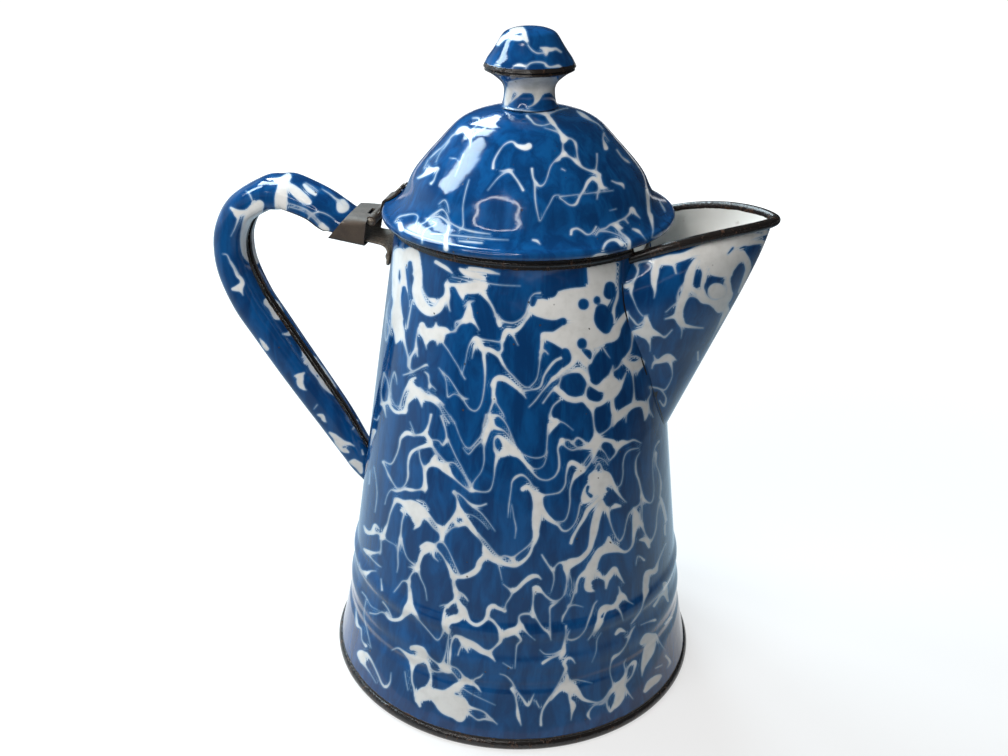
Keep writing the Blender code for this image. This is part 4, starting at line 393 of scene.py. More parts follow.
class PotSizes(bpy.types.PropertyGroup):
    """Sizes of the pot's sheet-metal shapes."""

    sheet: length("Sheet", "Thickness of the enamelled sheet", 0.0008)
    tin: length("Tin", "Thickness of the sleeve and the hinge leaf", 0.0006)
    strap: length("Strap", "Thickness of the handle bracket", 0.0009)
    gap: length("Gap", "Clearance between touching pieces", 0.0003)
    foot_cone: length("Foot Cone", "Radius of the body cone on the ground plane", 0.0727)
    rim_cone: length("Rim Cone", "Radius of the body cone at its top", 0.0475)
    cone_height: length("Cone Height", "Height over which the cone narrows", 0.1842)
    foot_bead: length("Foot Bead", "Outer radius of the foot bead", 0.0751)
    foot_bead_height: length("Foot Bead Height", "Height of the foot bead", 0.0045)
    rim_height: length("Rim Height", "Height of the rim bead's centre", 0.18475)
    rim_bead: length("Rim Bead", "Radius of the rim bead", 0.00175)
    lid_radius: length("Lid Radius", "Outer radius of the lid", 0.0532)
    lid_bead: length("Lid Bead", "Radius of the lid's rolled edge", 0.0017)
    lid_height: length("Lid Height", "Height of the lid above its bead", 0.0390)
    collar: length("Collar", "Radius of the collar under the lid", 0.0439)
    knob_seam: length("Knob Seam", "Radius of the knob's seam", 0.0161)
    knob_seam_height: length("Knob Seam Height", "Height of the knob's seam above the lid bead", 0.0531)
    knob_top: length("Knob Top", "Height of the knob above the lid bead", 0.0660)
    spout_width: length("Spout Width", "Half width of the spout", 0.0243)
    spout_reach: length("Spout Reach", "Reach of the spout's rim from the body axis", 0.08885)
    handle_reach: length("Handle Reach", "Reach of the handle from the body axis", 0.1216)
    handle_depth: length("Handle Depth", "Depth of the handle's channel", 0.0138)


class EnamelColours(bpy.types.PropertyGroup):
    """Colours of the finishes."""

    blue: colour("Blue", "Middle tone of the blue enamel", (0.0035, 0.062, 0.200))
    deep_blue: colour("Deep Blue", "Darker runs in the blue enamel", (0.0023, 0.030, 0.108))
    light_blue: colour("Light Blue", "Thin blue over white at the edge of a vein", (0.13, 0.30, 0.50))
    white: colour("White", "Thick white enamel", (0.64, 0.63, 0.61))
    thin_white: colour("Thin White", "White enamel that the blue shows through", (0.43, 0.52, 0.62))
    trim: colour("Trim", "Black enamel of the beads", (0.013, 0.010, 0.009))
    rust: colour("Rust", "Brown iron rust", (0.070, 0.030, 0.014))
    tin: colour("Tin", "Tarnished tin of the sleeve", (0.070, 0.050, 0.036))
    bright_tin: colour("Bright Tin", "Rubbed places of the tin", (0.42, 0.36, 0.28))
    liner: colour("Liner", "Grey-white enamel of the inside", (0.80, 0.79, 0.76))
    floor: colour("Floor", "Floor as the lamps see it", (0.30, 0.30, 0.30))


class PatternSettings(bpy.types.PropertyGroup):
    """Scale and spread of the white veins."""

    cell: length("Cell", "Mean size of a blue cell between veins", 0.0125)
    drag: length("Drag", "How far the wet enamel ran down in places", 0.045)
    vein: length("Vein", "Half width of the thin veins", 0.00045)
    wave: length("Wave", "Sideways wander of the veins", 0.0040)


class ViewSettings(bpy.types.PropertyGroup):
    """Place of the camera, round the body axis."""

    distance: length("Distance", "Distance of the camera from the body axis", 0.3946)
    height: length("Height", "Height of the camera", 0.3088)
    pitch: angle("Pitch", "Downward tilt", 0.4456)
    yaw: angle("Yaw", "Sideways turn", -0.0165)
    roll: angle("Roll", "Turn about the line of sight", 0.0248)
    turn: angle("Turn", "Angle of the camera round the pot", math.radians(9))
    focal: FloatProperty(name="Focal", description="Focal length in picture widths", default=1117 / 1008)


def axis_x():
    """X of the body axis, from the hinge of the frame."""
    return HINGE[0] + HINGE_REACH


# Curves and grids

def eased(table, place):
    """Cubic Hermite curve through a table of (place, value), its slopes from the neighbours."""
    xs, ys = np.array(table, float).T
    last = len(xs) - 1
    low, high = np.maximum(np.arange(last + 1) - 1, 0), np.minimum(np.arange(last + 1) + 1, last)
    slopes = (ys[high] - ys[low]) / (xs[high] - xs[low])
    place = np.asarray(place, float)
    i = np.clip(np.searchsorted(xs, place, side="left") - 1, 0, last - 1)
    span = xs[i + 1] - xs[i]
    t = np.clip((place - xs[i]) / span, 0, 1)
    return (ys[i] * (1 + 2 * t) * (1 - t) ** 2 + slopes[i] * span * t * (1 - t) ** 2
            + ys[i + 1] * t * t * (3 - 2 * t) + slopes[i + 1] * span * t * t * (t - 1))


def along(line, count, spread=None):
    """Points of a line at even steps of its length, or at given shares of it."""
    line = np.asarray(line, float)
    steps = np.concatenate([[0], np.cumsum(np.linalg.norm(np.diff(line, axis=0), axis=1))])
    wanted = (np.linspace(0, 1, count) if spread is None else spread) * steps[-1]
    return np.stack([np.interp(wanted, steps, line[:, k]) for k in range(line.shape[1])], axis=1)


def smooth_line(points, count):
    """Catmull-Rom curve through points, resampled at even steps."""
    p = np.asarray(points, float)
    p = np.concatenate([p[:1], p, p[-1:]])
    t = np.linspace(0, 1, 16, endpoint=False)[:, None, None]
    a, b, c, d = p[:-3], p[1:-2], p[2:-1], p[3:]
    dense = 0.5 * (2 * b + (c - a) * t + (2 * a - 5 * b + 4 * c - d) * t ** 2
                   + (3 * b - a - 3 * c + d) * t ** 3)
    dense = np.concatenate([dense.transpose(1, 0, 2).reshape(-1, p.shape[1]), p[-1:]])
    return along(dense, count)


def left_of(line):
    """Unit normals on the left of a plane line, from central differences."""
    run = np.gradient(np.asarray(line, float), axis=0)
    run /= np.maximum(np.linalg.norm(run, axis=1, keepdims=True), 1e-12)
    return np.stack([-run[:, 1], run[:, 0]], axis=1)


def aside(line, distance):
    """The line moved to its left."""
    return np.asarray(line, float) + left_of(line) * distance


def arc(centre, radius, start, end, count):
    """Circle arc, x = cx + r cos a and y = cy + r sin a, angles in degrees."""
    a = np.radians(np.linspace(start, end, count))
    return np.stack([centre[0] + radius * np.cos(a), centre[1] + radius * np.sin(a)], axis=1)


def rounded_power(value, exponent):
    """Signed power that rounds a circle's coordinate towards a box."""
    return np.sign(value) * np.abs(value) ** (2 / exponent)


def step(low, high, value):
    """Smooth step from 0 at low to 1 at high."""
    t = np.clip((np.asarray(value, float) - low) / (high - low), 0, 1)
    return t * t * (3 - 2 * t)


def grid_object(name, points, loop_rows=False, loop_columns=False, caps=False, masks=None):
    """Mesh of quads over a (rows, columns, 3) grid, its loops joined and its doubles merged.

    masks holds (rows, columns) numbers that become point attributes for the material.
    """
    rows, columns = points.shape[:2]
    i = np.arange(rows if loop_rows else rows - 1)[:, None]
    j = np.arange(columns if loop_columns else columns - 1)[None, :]
    i2, j2 = (i + 1) % rows, (j + 1) % columns
    faces = np.stack([i * columns + j, i * columns + j2, i2 * columns + j2, i2 * columns + j], axis=-1)
    faces = faces.reshape(-1, 4).tolist()
    if caps:
        faces.append(list(range(columns)))
        faces.append([(rows - 1) * columns + n for n in range(columns)])
    mesh = bpy.data.meshes.new(name)
    mesh.from_pydata(points.reshape(-1, 3).tolist(), [], faces)
    for mask, values in (masks or {}).items():
        layer = mesh.attributes.new(mask, "FLOAT", "POINT")
        layer.data.foreach_set("value", np.broadcast_to(values, (rows, columns)).astype(np.float32).ravel())
    work = bmesh.new()
    work.from_mesh(mesh)
    bmesh.ops.remove_doubles(work, verts=work.verts, dist=1e-6)
    bmesh.ops.dissolve_degenerate(work, edges=work.edges, dist=1e-7)
    bmesh.ops.recalc_face_normals(work, faces=work.faces)
    work.to_mesh(mesh)
    work.free()
    mesh.shade_smooth()
    mesh.set_sharp_from_angle(angle=math.radians(50))
    made = bpy.data.objects.new(name, mesh)
    bpy.context.scene.collection.objects.link(made)
    return made


def even_turn(count):
    """Row of even angles round a circle."""
    return np.linspace(0, 2 * np.pi, count, endpoint=False)[None, :]


def turned_grid(outline, angles):
    """Points of an outline of (radius, height) turned about the body axis."""
    r, z = outline[:, :1], outline[:, 1:]
    return np.stack([r * np.cos(angles), r * np.sin(angles), z + 0 * angles], axis=-1)


def at_body(points):
    """Points round the body axis moved to their place in the frame."""
    return points + np.array([axis_x(), 0, 0])


def sheet_outline(line, thickness, inner_count=None):
    """Closed outline of a sheet about an open line, its inner side coarser where asked."""
    outer, inner = aside(line, thickness / 2), aside(line, -thickness / 2)
    if inner_count:
        inner = along(inner, inner_count)
    return np.concatenate([outer, inner[::-1]])


def from_row(first, count):
    """One for the rows of a grid from the first on, zero before."""
    return (np.arange(count) >= first).astype(float)[:, None]


def joined(target, cutter, operation):
    """Applies one Boolean of a closed cutter to a piece and removes the cutter."""
    modifier = target.modifiers.new("cut", "BOOLEAN")
    modifier.operation = operation
    modifier.solver = "EXACT"
    modifier.object = cutter
    bpy.context.view_layer.update()
    mesh = bpy.data.meshes.new_from_object(target.evaluated_get(bpy.context.evaluated_depsgraph_get()))
    target.modifiers.clear()
    old, target.data = target.data, mesh
    mesh.name = target.name
    bpy.data.meshes.remove(old)
    bpy.data.objects.remove(cutter)
    target.data.shade_smooth()
    target.data.set_sharp_from_angle(angle=math.radians(40))


def eased_edges(piece, width):
    """Rounds a piece's hard edges."""
    bevel = piece.modifiers.new("soft_edges", "BEVEL")
    bevel.width = width
    bevel.segments = 3
    bevel.limit_method = "ANGLE"
    bevel.angle_limit = math.radians(35)
    piece.data.shade_smooth()


def rod_between(name, start, end, radius, count=40):
    """Closed round bar between two points."""
    start, end = np.array(start, float), np.array(end, float)
    run = (end - start) / np.linalg.norm(end - start)
    side = np.cross(run, [0.3, 0.1, 1.0])
    side /= np.linalg.norm(side)
    other = np.cross(run, side)
    a = even_turn(count)[..., None]
    ring = (side * np.cos(a) + other * np.sin(a)) * radius
    return grid_object(name, np.stack([start, end])[:, None] + ring, loop_columns=True, caps=True)


def hinge_bar(name, low, high, radius):
    """Closed round bar along the hinge axis, from one y to another."""
    return rod_between(name, (HINGE[0], low, HINGE[2]), (HINGE[0], high, HINGE[2]), radius)


def strap_grid(line, half, thickness, count):
    """Closed sections of a flat strap along a line of (x, z), as wide to each side as half says."""
    side = left_of(line) * thickness / 2
    edge = half[:, None] * np.linspace(-1, 1, count)[None, :]
    faces = []
    for sign in (1, -1):
        x = line[:, :1] + sign * side[:, :1] + 0 * edge
        z = line[:, 1:] + sign * side[:, 1:] + 0 * edge
        face = np.stack([x, edge, z], axis=-1)
        faces.append(face if sign > 0 else face[:, ::-1])
    return np.concatenate(faces, axis=1)


def front_angles(count):
    """Angles of a whole turn, closest together towards the camera."""
    return 2 * np.pi * (1 - denser_in_front(count, True)[::-1])[None, :]


def camera_axes(v):
    """Camera's place and its right, up and back axes, from yaw, pitch, roll and its turn round the pot."""
    ahead = np.array([math.sin(v.yaw) * math.cos(v.pitch), math.cos(v.yaw) * math.cos(v.pitch),
                      -math.sin(v.pitch)])
    right = np.array([math.cos(v.yaw), -math.sin(v.yaw), 0.0])
    up = np.cross(right, ahead)
    right, up = (math.cos(v.roll) * right + math.sin(v.roll) * up,
                 math.cos(v.roll) * up - math.sin(v.roll) * right)
    c, n = math.cos(v.turn), math.sin(v.turn)
    spin = np.array([[c, -n, 0], [n, c, 0], [0, 0, 1]])
    place = spin @ np.array([0, -v.distance, v.height]) + np.array([axis_x(), 0, 0])
    return place, np.stack([right, up, -ahead]) @ spin.T


def picture_place(points, v):
    """Picture x and y of points, the size of a pixel at each, and the way there from the camera."""
    place, (right, up, back) = camera_axes(v)
    away = points - place
    pixel = -(away @ back) / (v.focal * PICTURE_WIDTH)
    return PICTURE_WIDTH / 2 + away @ right / pixel, PICTURE_HEIGHT / 2 - away @ up / pixel, pixel, away


def run_places(run):
    """Rows of x, y and half width of a run, its steps added up."""
    places = np.reshape(run, (-1, 3)).astype(float)
    places[:, :2] = places[:, :2].cumsum(axis=0)
    places[:, 2] /= 10
    return places


def smooth_run(run, steps=5):
    """Places along a Catmull-Rom curve through a run's places."""
    p = np.array([run[0], *run, run[-1]], float)
    t = np.linspace(0, 1, steps, endpoint=False)[:, None]
    parts = []
    for a, b, c, d in zip(p, p[1:], p[2:], p[3:]):
        parts.append(b + 0.5 * t * ((c - a) + t * (2 * a - 5 * b + 4 * c - d + t * (3 * (b - c) + d - a))))
    return np.concatenate([*parts, p[-1:]])


def run_depth(x, y, run):
    """How far places lie inside a run, with the way to its line and its half width there.

    The depth is the half width less the distance to the line, thin runs being drawn a little thinner.
    """
    line = smooth_run(run)
    a, b = line[:-1], line[1:]
    ax, ay, bx, by = a[:, 0], a[:, 1], b[:, 0] - a[:, 0], b[:, 1] - a[:, 1]
    dx, dy = x[:, None] - ax, y[:, None] - ay
    t = np.clip((dx * bx + dy * by) / np.maximum(bx * bx + by * by, 1e-9), 0, 1)
    width = a[:, 2] + t * (b[:, 2] - a[:, 2])
    width = width - 0.38 * np.exp(-(width / 2.2) ** 2)
    near = np.stack([dx - t * bx, dy - t * by, width], axis=-1)
    depth = width - np.hypot(near[..., 0], near[..., 1])
    deepest = depth.argmax(axis=1)
    rows = np.arange(len(x))
    return depth[rows, deepest], near[rows, deepest]


def runs_depth(x, y, runs, blend=0.9, reach=9.0):
    """Depth in the nearest of many runs, their meetings filled like wet enamel, and the way to it.

    The depth is blend * log(sum(exp(depth / blend))), which rounds the corner between two runs.
    """
    total = np.full(len(x), math.exp(-reach / blend))
    best = np.full(len(x), -reach)
    nearest = np.tile([reach, 0.0, 0.0], (len(x), 1))
    for run in map(run_places, runs):
        low, high = run.min(axis=0), run.max(axis=0)
        edge = reach + high[2]
        close = np.flatnonzero((x > low[0] - edge) & (x < high[0] + edge)
                               & (y > low[1] - edge) & (y < high[1] + edge))
        if len(close):
            depth, near = run_depth(x[close], y[close], run)
            total[close] += np.exp(depth / blend)
            deeper = depth > best[close]
            best[close[deeper]] = depth[deeper]
            nearest[close[deeper]] = near[deeper]
    return blend * np.log(total), nearest


def swirled(piece):
    """Gives a piece's points the depth of the white runs, a few of which are painted reflections, and of the
    cracks, and where the foam is left out.

    Beside each depth goes the way to the nearest run with its half width, all in metres, which keeps
    a hairline sharp between the points.
    """
    _, _, _, v = settings()
    mesh = piece.data
    count = len(mesh.vertices)
    points, normals = np.empty(count * 3, np.float32), np.empty(count * 3, np.float32)
    mesh.vertices.foreach_get("co", points)
    mesh.vertices.foreach_get("normal", normals)
    points, normals = points.reshape(-1, 3).astype(float), normals.reshape(-1, 3).astype(float)
    x, y, pixel, away = picture_place(points, v)
    facing = -(normals * away).sum(axis=1) / np.linalg.norm(away, axis=1)
    seen = np.clip((facing + 0.02) / 0.16, 0, 1)
    white, white_way = runs_depth(x, y, WHITE_RUNS_AND_REFLECTIONS)
    white = np.minimum(white, -runs_depth(x, y, BLUE_DROPS)[0])
    white = np.maximum(white, runs_depth(x, y, WHITE_DOTS)[0])
    dark, dark_way = runs_depth(x, y, DARK_CRACKS, reach=4.0)
    for name, depth, way in (("painted", white, white_way), ("crack", dark, dark_way)):
        values = np.clip(depth * pixel - (1 - seen) * DEPTH_LIMIT, -DEPTH_LIMIT, DEPTH_LIMIT) + DEPTH_LIMIT
        made = mesh.attributes.new(name, "FLOAT", "POINT")
        made.data.foreach_set("value", values.astype(np.float32))
        made = mesh.attributes.new(name + "_way", "FLOAT_VECTOR", "POINT")
        made.data.foreach_set("vector", (way * pixel[:, None]).astype(np.float32).ravel())
    made = mesh.attributes.new("bare", "FLOAT", "POINT")
    made.data.foreach_set("value", seen.astype(np.float32))
    return piece


def denser_in_front(count, looped):
    """Shares of a turn round the pot from its nose, closest together towards the camera."""
    even = np.linspace(0, 1, 721)
    density = 0.22 + np.maximum(np.cos(2 * np.pi * (even - 0.225)), 0)
    total = np.concatenate([[0], np.cumsum((density[1:] + density[:-1]) / 2)])
    return np.interp(np.linspace(0, total[-1], count, endpoint=not looped), total, even)


# Body

def wall_radius(s, z):
    """Outer radius of the plain cone, falling evenly with height."""
    return s.foot_cone - (s.foot_cone - s.rim_cone) / s.cone_height * z


def band(z, centre, width, proud):
    """Raised band, proud times a squared cosine, zero beyond half its width."""
    t = np.clip((z - centre) / (width / 2), -1, 1)
    return proud * np.cos(t * np.pi / 2) ** 2


def body_radius(s, z):
    """Outer radius of the body: cone, two ribs, groove and squared flare at the foot."""
    radius = wall_radius(s, z)
    for centre, width, proud in RIBS:
        radius = radius + band(z, centre, width, proud)
    return radius + FLARE_DEPTH * np.clip(1 - z / FLARE_HEIGHT, 0, 1) ** 2


def rim_centre_radius(s):
    """Radius of the rim bead's centre circle."""
    return wall_radius(s, s.rim_height) - s.sheet / 2 + (s.rim_bead - s.sheet / 2)


def throat_half_width(s, z):
    """Half width of the wall's opening into the spout, a V that widens upward."""
    (low, narrow), (high, wide), top = THROAT
    opening = np.interp(z, (low, high, top), (narrow, wide, s.spout_width + s.rim_bead + s.gap))
    return np.where(z < low, narrow * step(THROAT_EDGE, low, z), opening)


def body_piece(s):
    """Body wall turned from its outline, each row ending at the edges of the throat's V."""
    top = s.rim_height - 0.0004
    heights = np.linspace(s.sheet + 2 * s.gap, top, 285)
    wall = np.stack([body_radius(s, heights) - s.sheet / 2, heights], axis=1)
    curl = arc((rim_centre_radius(s), s.rim_height), s.rim_bead - s.sheet / 2, 180, -75, 16)
    line = np.concatenate([wall, curl])[::-1]
    outline = sheet_outline(line, s.sheet, 46)
    half = throat_half_width(s, outline[:, 1])
    first = np.arcsin(np.clip(half / outline[:, 0], 0, 1))[:, None]
    front = denser_in_front(280, False)
    angles = -(first + (2 * np.pi - 2 * first) * front[None, :])
    z = outline[:, 1:]
    points = at_body(turned_grid(outline, angles))
    inside = from_row(len(line), len(outline))
    rim = step(s.rim_height - 0.0030, s.rim_height - 0.0014, z)
    foot = 1 - step(s.foot_bead_height - 0.0002, s.foot_bead_height + 0.0014, z)
    return closed_strip("body", points, {"inside": inside, "trim": np.maximum(rim, foot)})


def closed_strip(name, points, masks):
    """Looped rows whose first and last columns are closed across wherever they don't meet."""
    made = grid_object(name, points, loop_rows=True, masks=masks)
    work = bmesh.new()
    work.from_mesh(made.data)
    bmesh.ops.holes_fill(work, edges=[e for e in work.edges if e.is_boundary], sides=0)
    bmesh.ops.triangulate(work, faces=[f for f in work.faces if len(f.verts) > 4])
    bmesh.ops.recalc_face_normals(work, faces=work.faces)
    work.to_mesh(made.data)
    work.free()
    made.data.set_sharp_from_angle(angle=math.radians(50))
    return made


def base_piece(s):
    """Bottom plate turned from its outline: recessed disc, standing ring and rolled foot bead."""
    wall = body_radius(s, s.foot_bead_height)
    bead = s.foot_bead_height / 2
    roll = arc((s.foot_bead - bead, bead), bead, -75, 75, 22)
    ring_in = s.foot_bead - 0.0032
    outline = np.concatenate([
        [(0.0, BASE_HEIGHT), (ring_in - 0.0012, BASE_HEIGHT)],
        arc((ring_in - 0.0006, 0.0012), 0.0006, 180, 260, 6), [(ring_in, 0.0)], roll,
        [(wall + s.gap, s.foot_bead_height), (wall + s.gap, s.sheet + s.gap),
         (wall - s.sheet - s.gap, s.sheet + s.gap), (wall - s.sheet - s.gap, BASE_HEIGHT + s.sheet),
         (0.0, BASE_HEIGHT + s.sheet)]])
    outline[:, 1] = np.maximum(outline[:, 1], 0)
    inner = from_row(len(outline) - 2, len(outline))
    return grid_object("foot_bead_and_bottom", at_body(turned_grid(outline, even_turn(240))),
                       loop_columns=True, masks={"trim": 1 - inner, "inside": inner})


# Spout

def spout_grid(s, rise, turn):
    """Points of the spout's sheet.

    rise runs from the toe to the rim and turn from one side to the other, zero at the nose. Each
    row is a superellipse-like arch between the body cone and the keel line.
    """
    bow = np.maximum(np.cos(turn), 0.0)
    widths = ((0.0, 0.16), (0.08, 0.40), (0.26, 0.67), (0.42, 0.81), (0.54, 0.98),
              (0.73, 1.19), (0.89, 1.17), (1.0, 0.95))
    half = s.spout_width * eased(widths, rise)
    side = np.sign(turn) * half * (1 - bow ** 1.97) ** 0.69
    toe, seam_top, tip = 0.1035, 0.18095, 0.1919
    sunk, keel_start, crest = 0.0030, 0.0558, 0.00275
    seam = toe + (seam_top - toe) * rise
    start = np.sqrt(wall_radius(s, seam) ** 2 - half ** 2) - sunk
    keel_end = s.spout_reach - (s.rim_bead - s.sheet / 2) + sunk
    nose = keel_start + (keel_end - keel_start) * rise - sunk * rise ** 8
    rim = seam_top + (tip - seam_top) * bow + crest * 4 * bow * (1 - bow)
    z = toe + (rim - toe) * rise
    return np.stack([start + (nose - start) * bow, side, z], axis=-1)


def spout_piece(s):
    """Spout sheet and its rolled rim, ended on the body by a small run-out of enamel."""
    curl_radius = s.rim_bead - s.sheet / 2
    rises = np.linspace(0, 1, 150) ** 0.9
    dense = np.linspace(-np.pi / 2, np.pi / 2, 721)
    sheet = spout_grid(s, rises[:, None], dense[None, :])
    rim = sheet[-1]
    run = np.gradient(rim, axis=0)
    run /= np.linalg.norm(run, axis=1, keepdims=True)
    up = np.array([0, 0, 1.0]) - run * run[:, 2:]
    up /= np.linalg.norm(up, axis=1, keepdims=True)
    out = np.cross(run, up)
    centre = rim + out * curl_radius
    roll = np.radians(255 * np.arange(1, 17) / 16)[:, None, None]
    curl = centre + (up * np.sin(roll) - out * np.cos(roll)) * curl_radius
    middle = np.concatenate([sheet, curl])
    across = np.gradient(middle, axis=1)
    upward = np.gradient(middle, axis=0)
    normal = np.cross(across, upward)
    normal /= np.maximum(np.linalg.norm(normal, axis=2, keepdims=True), 1e-12)
    outer, inner = middle + normal * s.sheet / 2, middle - normal * s.sheet / 2
    wraps = np.concatenate([outer, inner[::-1]])
    clear = np.hypot(wraps[..., 0], wraps[..., 1]) - wall_radius(s, wraps[..., 2]) - s.gap * 0.2
    middle_index = len(dense) // 2
    columns = np.linspace(-1, 1, 181)
    columns = np.sign(columns) * np.abs(columns) ** 0.9
    rows = []
    for row, depth in zip(wraps, clear):
        left = np.interp(0, depth[:middle_index + 1], dense[:middle_index + 1])
        right = np.interp(0, depth[:middle_index - 1:-1], dense[:middle_index - 1:-1])
        wanted = np.where(columns < 0, -columns * left, columns * right)
        rows.append(np.stack([np.interp(wanted, dense, row[:, k]) for k in range(3)], axis=1))
    points = np.array(rows)
    count = len(middle)
    index = np.arange(len(points))
    inside = from_row(count, len(points))
    place = np.where(index < count, index, 2 * count - 1 - index)
    trim = step(len(rises) - 3.5, len(rises) - 0.5, place)[:, None]
    return closed_strip("spout", at_body(points), {"inside": inside, "trim": trim})


# Handle and its fittings

def handle_back(s, count):
    """Back line of the handle from the sleeve round to the body."""
    shares = ((0.490, 0.9320), (0.531, 0.9350), (0.570, 0.951), (0.632, 0.973), (0.727, 0.996),
              (0.779, 0.996), (0.835, 0.989), (0.934, 0.950), (0.984, 0.899), (1.0, 0.847),
              (0.990, 0.788), (0.947, 0.719), (0.882, 0.655), (0.814, 0.591), (0.744, 0.528),
              (0.673, 0.466), (0.601, 0.403), (0.563, 0.371), (0.480, 0.320))
    return smooth_line([(-s.handle_reach * x, HANDLE_TOP * z) for x, z in shares], count)


def handle_piece(s):
    """Rolled channel: superellipse sections along the back line, open towards the body."""
    stations = 480
    back = handle_back(s, stations)
    place = np.linspace(0, 1, stations)
    depth = s.handle_depth * eased(((0.0, 0.60), (0.025, 0.67), (0.055, 0.93), (0.10, 0.90), (0.16, 0.87),
                                    (0.28, 0.88), (0.40, 0.95), (0.52, 1.0), (0.80, 0.92), (0.90, 0.76),
                                    (1.0, 0.52)), place)
    width = HANDLE_WIDTH * eased(((0.0, 0.93), (0.04, 0.94), (0.07, 1.0), (0.10, 1.0), (0.22, 0.96),
                                  (0.40, 0.91), (0.70, 0.84), (0.90, 0.74), (1.0, 0.66)), place)
    slot = eased(((0.0, 0.93), (0.13, 0.92), (0.24, 0.34), (0.32, 0.16), (0.5, 0.14), (1.0, 0.14)), place)
    limit = np.pi - np.arcsin(slot ** 1.7)
    turn = np.linspace(-1, 1, 88)[None, :] * limit[:, None]
    power = np.where(np.cos(turn) > 0, 2.3, 3.4)
    a = (depth - s.sheet)[:, None] / 2 * rounded_power(np.cos(turn), power)
    b = (width - s.sheet)[:, None] / 2 * rounded_power(np.sin(turn), power)
    run_a, run_b = np.gradient(a, axis=1), np.gradient(b, axis=1)
    size = np.hypot(run_a, run_b)
    side_a, side_b = run_b / size * s.sheet / 2, -run_a / size * s.sheet / 2
    ring_a = np.concatenate([a + side_a, (a - side_a)[:, ::-1]], axis=1)
    ring_b = np.concatenate([b + side_b, (b - side_b)[:, ::-1]], axis=1)
    out = -left_of(back)
    x = back[:, :1] + out[:, :1] * (ring_a - depth[:, None] / 2)
    z = back[:, 1:] + out[:, 1:] * (ring_a - depth[:, None] / 2)
    points = np.stack([x, ring_b, z], axis=-1)
    reach = wall_radius(s, points[..., 2]) + s.gap
    flat = np.sqrt(np.maximum(reach ** 2 - points[..., 1] ** 2, 0))
    low_end = points[..., 2] < 0.10
    points[..., 0] = np.where(low_end, np.minimum(points[..., 0], -flat), points[..., 0])
    count = ring_a.shape[1] // 2
    inside = (np.arange(2 * count) >= count).astype(float)[None, :]
    edge = np.abs(np.abs(np.concatenate([turn, turn[:, ::-1]], axis=1)) - limit[:, None])
    worn = 1 - step(0.02, 0.16, edge)
    return grid_object("handle", at_body(points), loop_columns=True, caps=True,
                       masks={"inside": np.broadcast_to(inside, worn.shape), "trim": worn})


def sleeve_piece(s):
    """Folded sleeve round the handle's end with two knuckles, notched for the lid's leaf."""
    count, stations = 160, 40
    dome, box = 3.4, 8.0
    turn = np.linspace(0, 2 * np.pi, count, endpoint=False)[:, None]
    share = np.linspace(0, 1, stations)[None, :]
    (left_top, right_top), (left_low, right_low) = np.array(SLEEVE_TOP), np.array(SLEEVE_LOW)
    loops = []
    for inset in (0.0, s.tin):
        top = left_top + (right_top - left_top) * share[..., None]
        low = left_low + (right_low - left_low) * share[..., None]
        rise = (top - low) / 2
        rise = rise * (1 - inset / np.linalg.norm(rise, axis=-1, keepdims=True))
        power = np.where(np.sin(turn) > 0, dome + (box - dome) * share, box + 0 * share)
        side = (SLEEVE_HALF - inset) * rounded_power(np.cos(turn), power)
        middle = (top + low) / 2 + rise * rounded_power(np.sin(turn), power)[..., None]
        loop = np.stack([middle[..., 0], side, middle[..., 1]], axis=-1)
        loops.append(loop if inset == 0 else loop[:, ::-1])
    points = at_body(np.concatenate(loops, axis=1))
    made = grid_object("handle_sleeve", points, loop_rows=True, loop_columns=True)
    for y0, y1 in ((NOTCH_HALF, KNUCKLE_END), (-KNUCKLE_END, -NOTCH_HALF)):
        joined(made, hinge_bar("knuckle", y0, y1, KNUCKLE_RADIUS), "UNION")
    x, z = HINGE[0], HINGE[2]
    back, reach = 0.0028, 0.0022
    notch = np.array([[(x - back, y, z - reach), (x + reach, y, z - reach), (x + reach, y, z + reach),
                       (x - back, y, z + reach)] for y in (-NOTCH_HALF, NOTCH_HALF)])
    joined(made, grid_object("notch", notch, loop_columns=True, caps=True), "DIFFERENCE")
    for name, radius, y0, y1 in (("bore", BORE_RADIUS, -PIN_HALF, PIN_HALF),
                                 ("pocket", POCKET_RADIUS, KNUCKLE_END, POCKET_END),
                                 ("pocket", POCKET_RADIUS, -POCKET_END, -KNUCKLE_END)):
        joined(made, hinge_bar(name, y0, y1, radius), "DIFFERENCE")
    return made


def bracket_piece(s):
    """Strap from inside the sleeve, bent down the body, its edges rounded."""
    left, right = np.array(SLEEVE_LOW)
    run = (right - left) / np.linalg.norm(right - left)
    up = np.array([-run[1], run[0]])
    seat = right + up * (s.tin + s.gap + s.strap / 2)
    slope = (s.foot_cone - s.rim_cone) / s.cone_height
    offset = s.gap * math.sqrt(1 + slope ** 2) + s.strap / 2

    def flange(z):
        """Middle of the strap where it lies on the body at a height."""
        return np.array([-wall_radius(s, z) - offset, z])

    corner = seat + run * ((flange(seat[1]) - seat)[0] / run[0])
    corner = flange(corner[1])
    down = flange(BRACKET_LOW) - flange(BRACKET_HIGH)
    down /= np.linalg.norm(down)
    before, after = corner - run * BRACKET_BEND, corner + down * BRACKET_BEND
    t = np.linspace(0, 1, 24)[:, None]
    bend = before * (1 - t) ** 2 + corner * 2 * t * (1 - t) + after * t * t
    line = along(np.concatenate([[seat - run * BRACKET_INSIDE, seat], bend, [flange(BRACKET_LOW)]]), 90)
    share = np.linspace(0, 1, 90)
    tip = np.sqrt(np.clip(1 - ((share - 0.93) / 0.07).clip(0, 1) ** 2, 0.0, 1)) * 0.25 + 0.75
    half = (BRACKET_HALF + 0.0002 * step(0.45, 0.7, share)) * tip
    points = at_body(strap_grid(line, half, s.strap, 15))
    made = grid_object("handle_bracket_strap", points, loop_columns=True, caps=True)
    eased_edges(made, 0.0002)
    return made


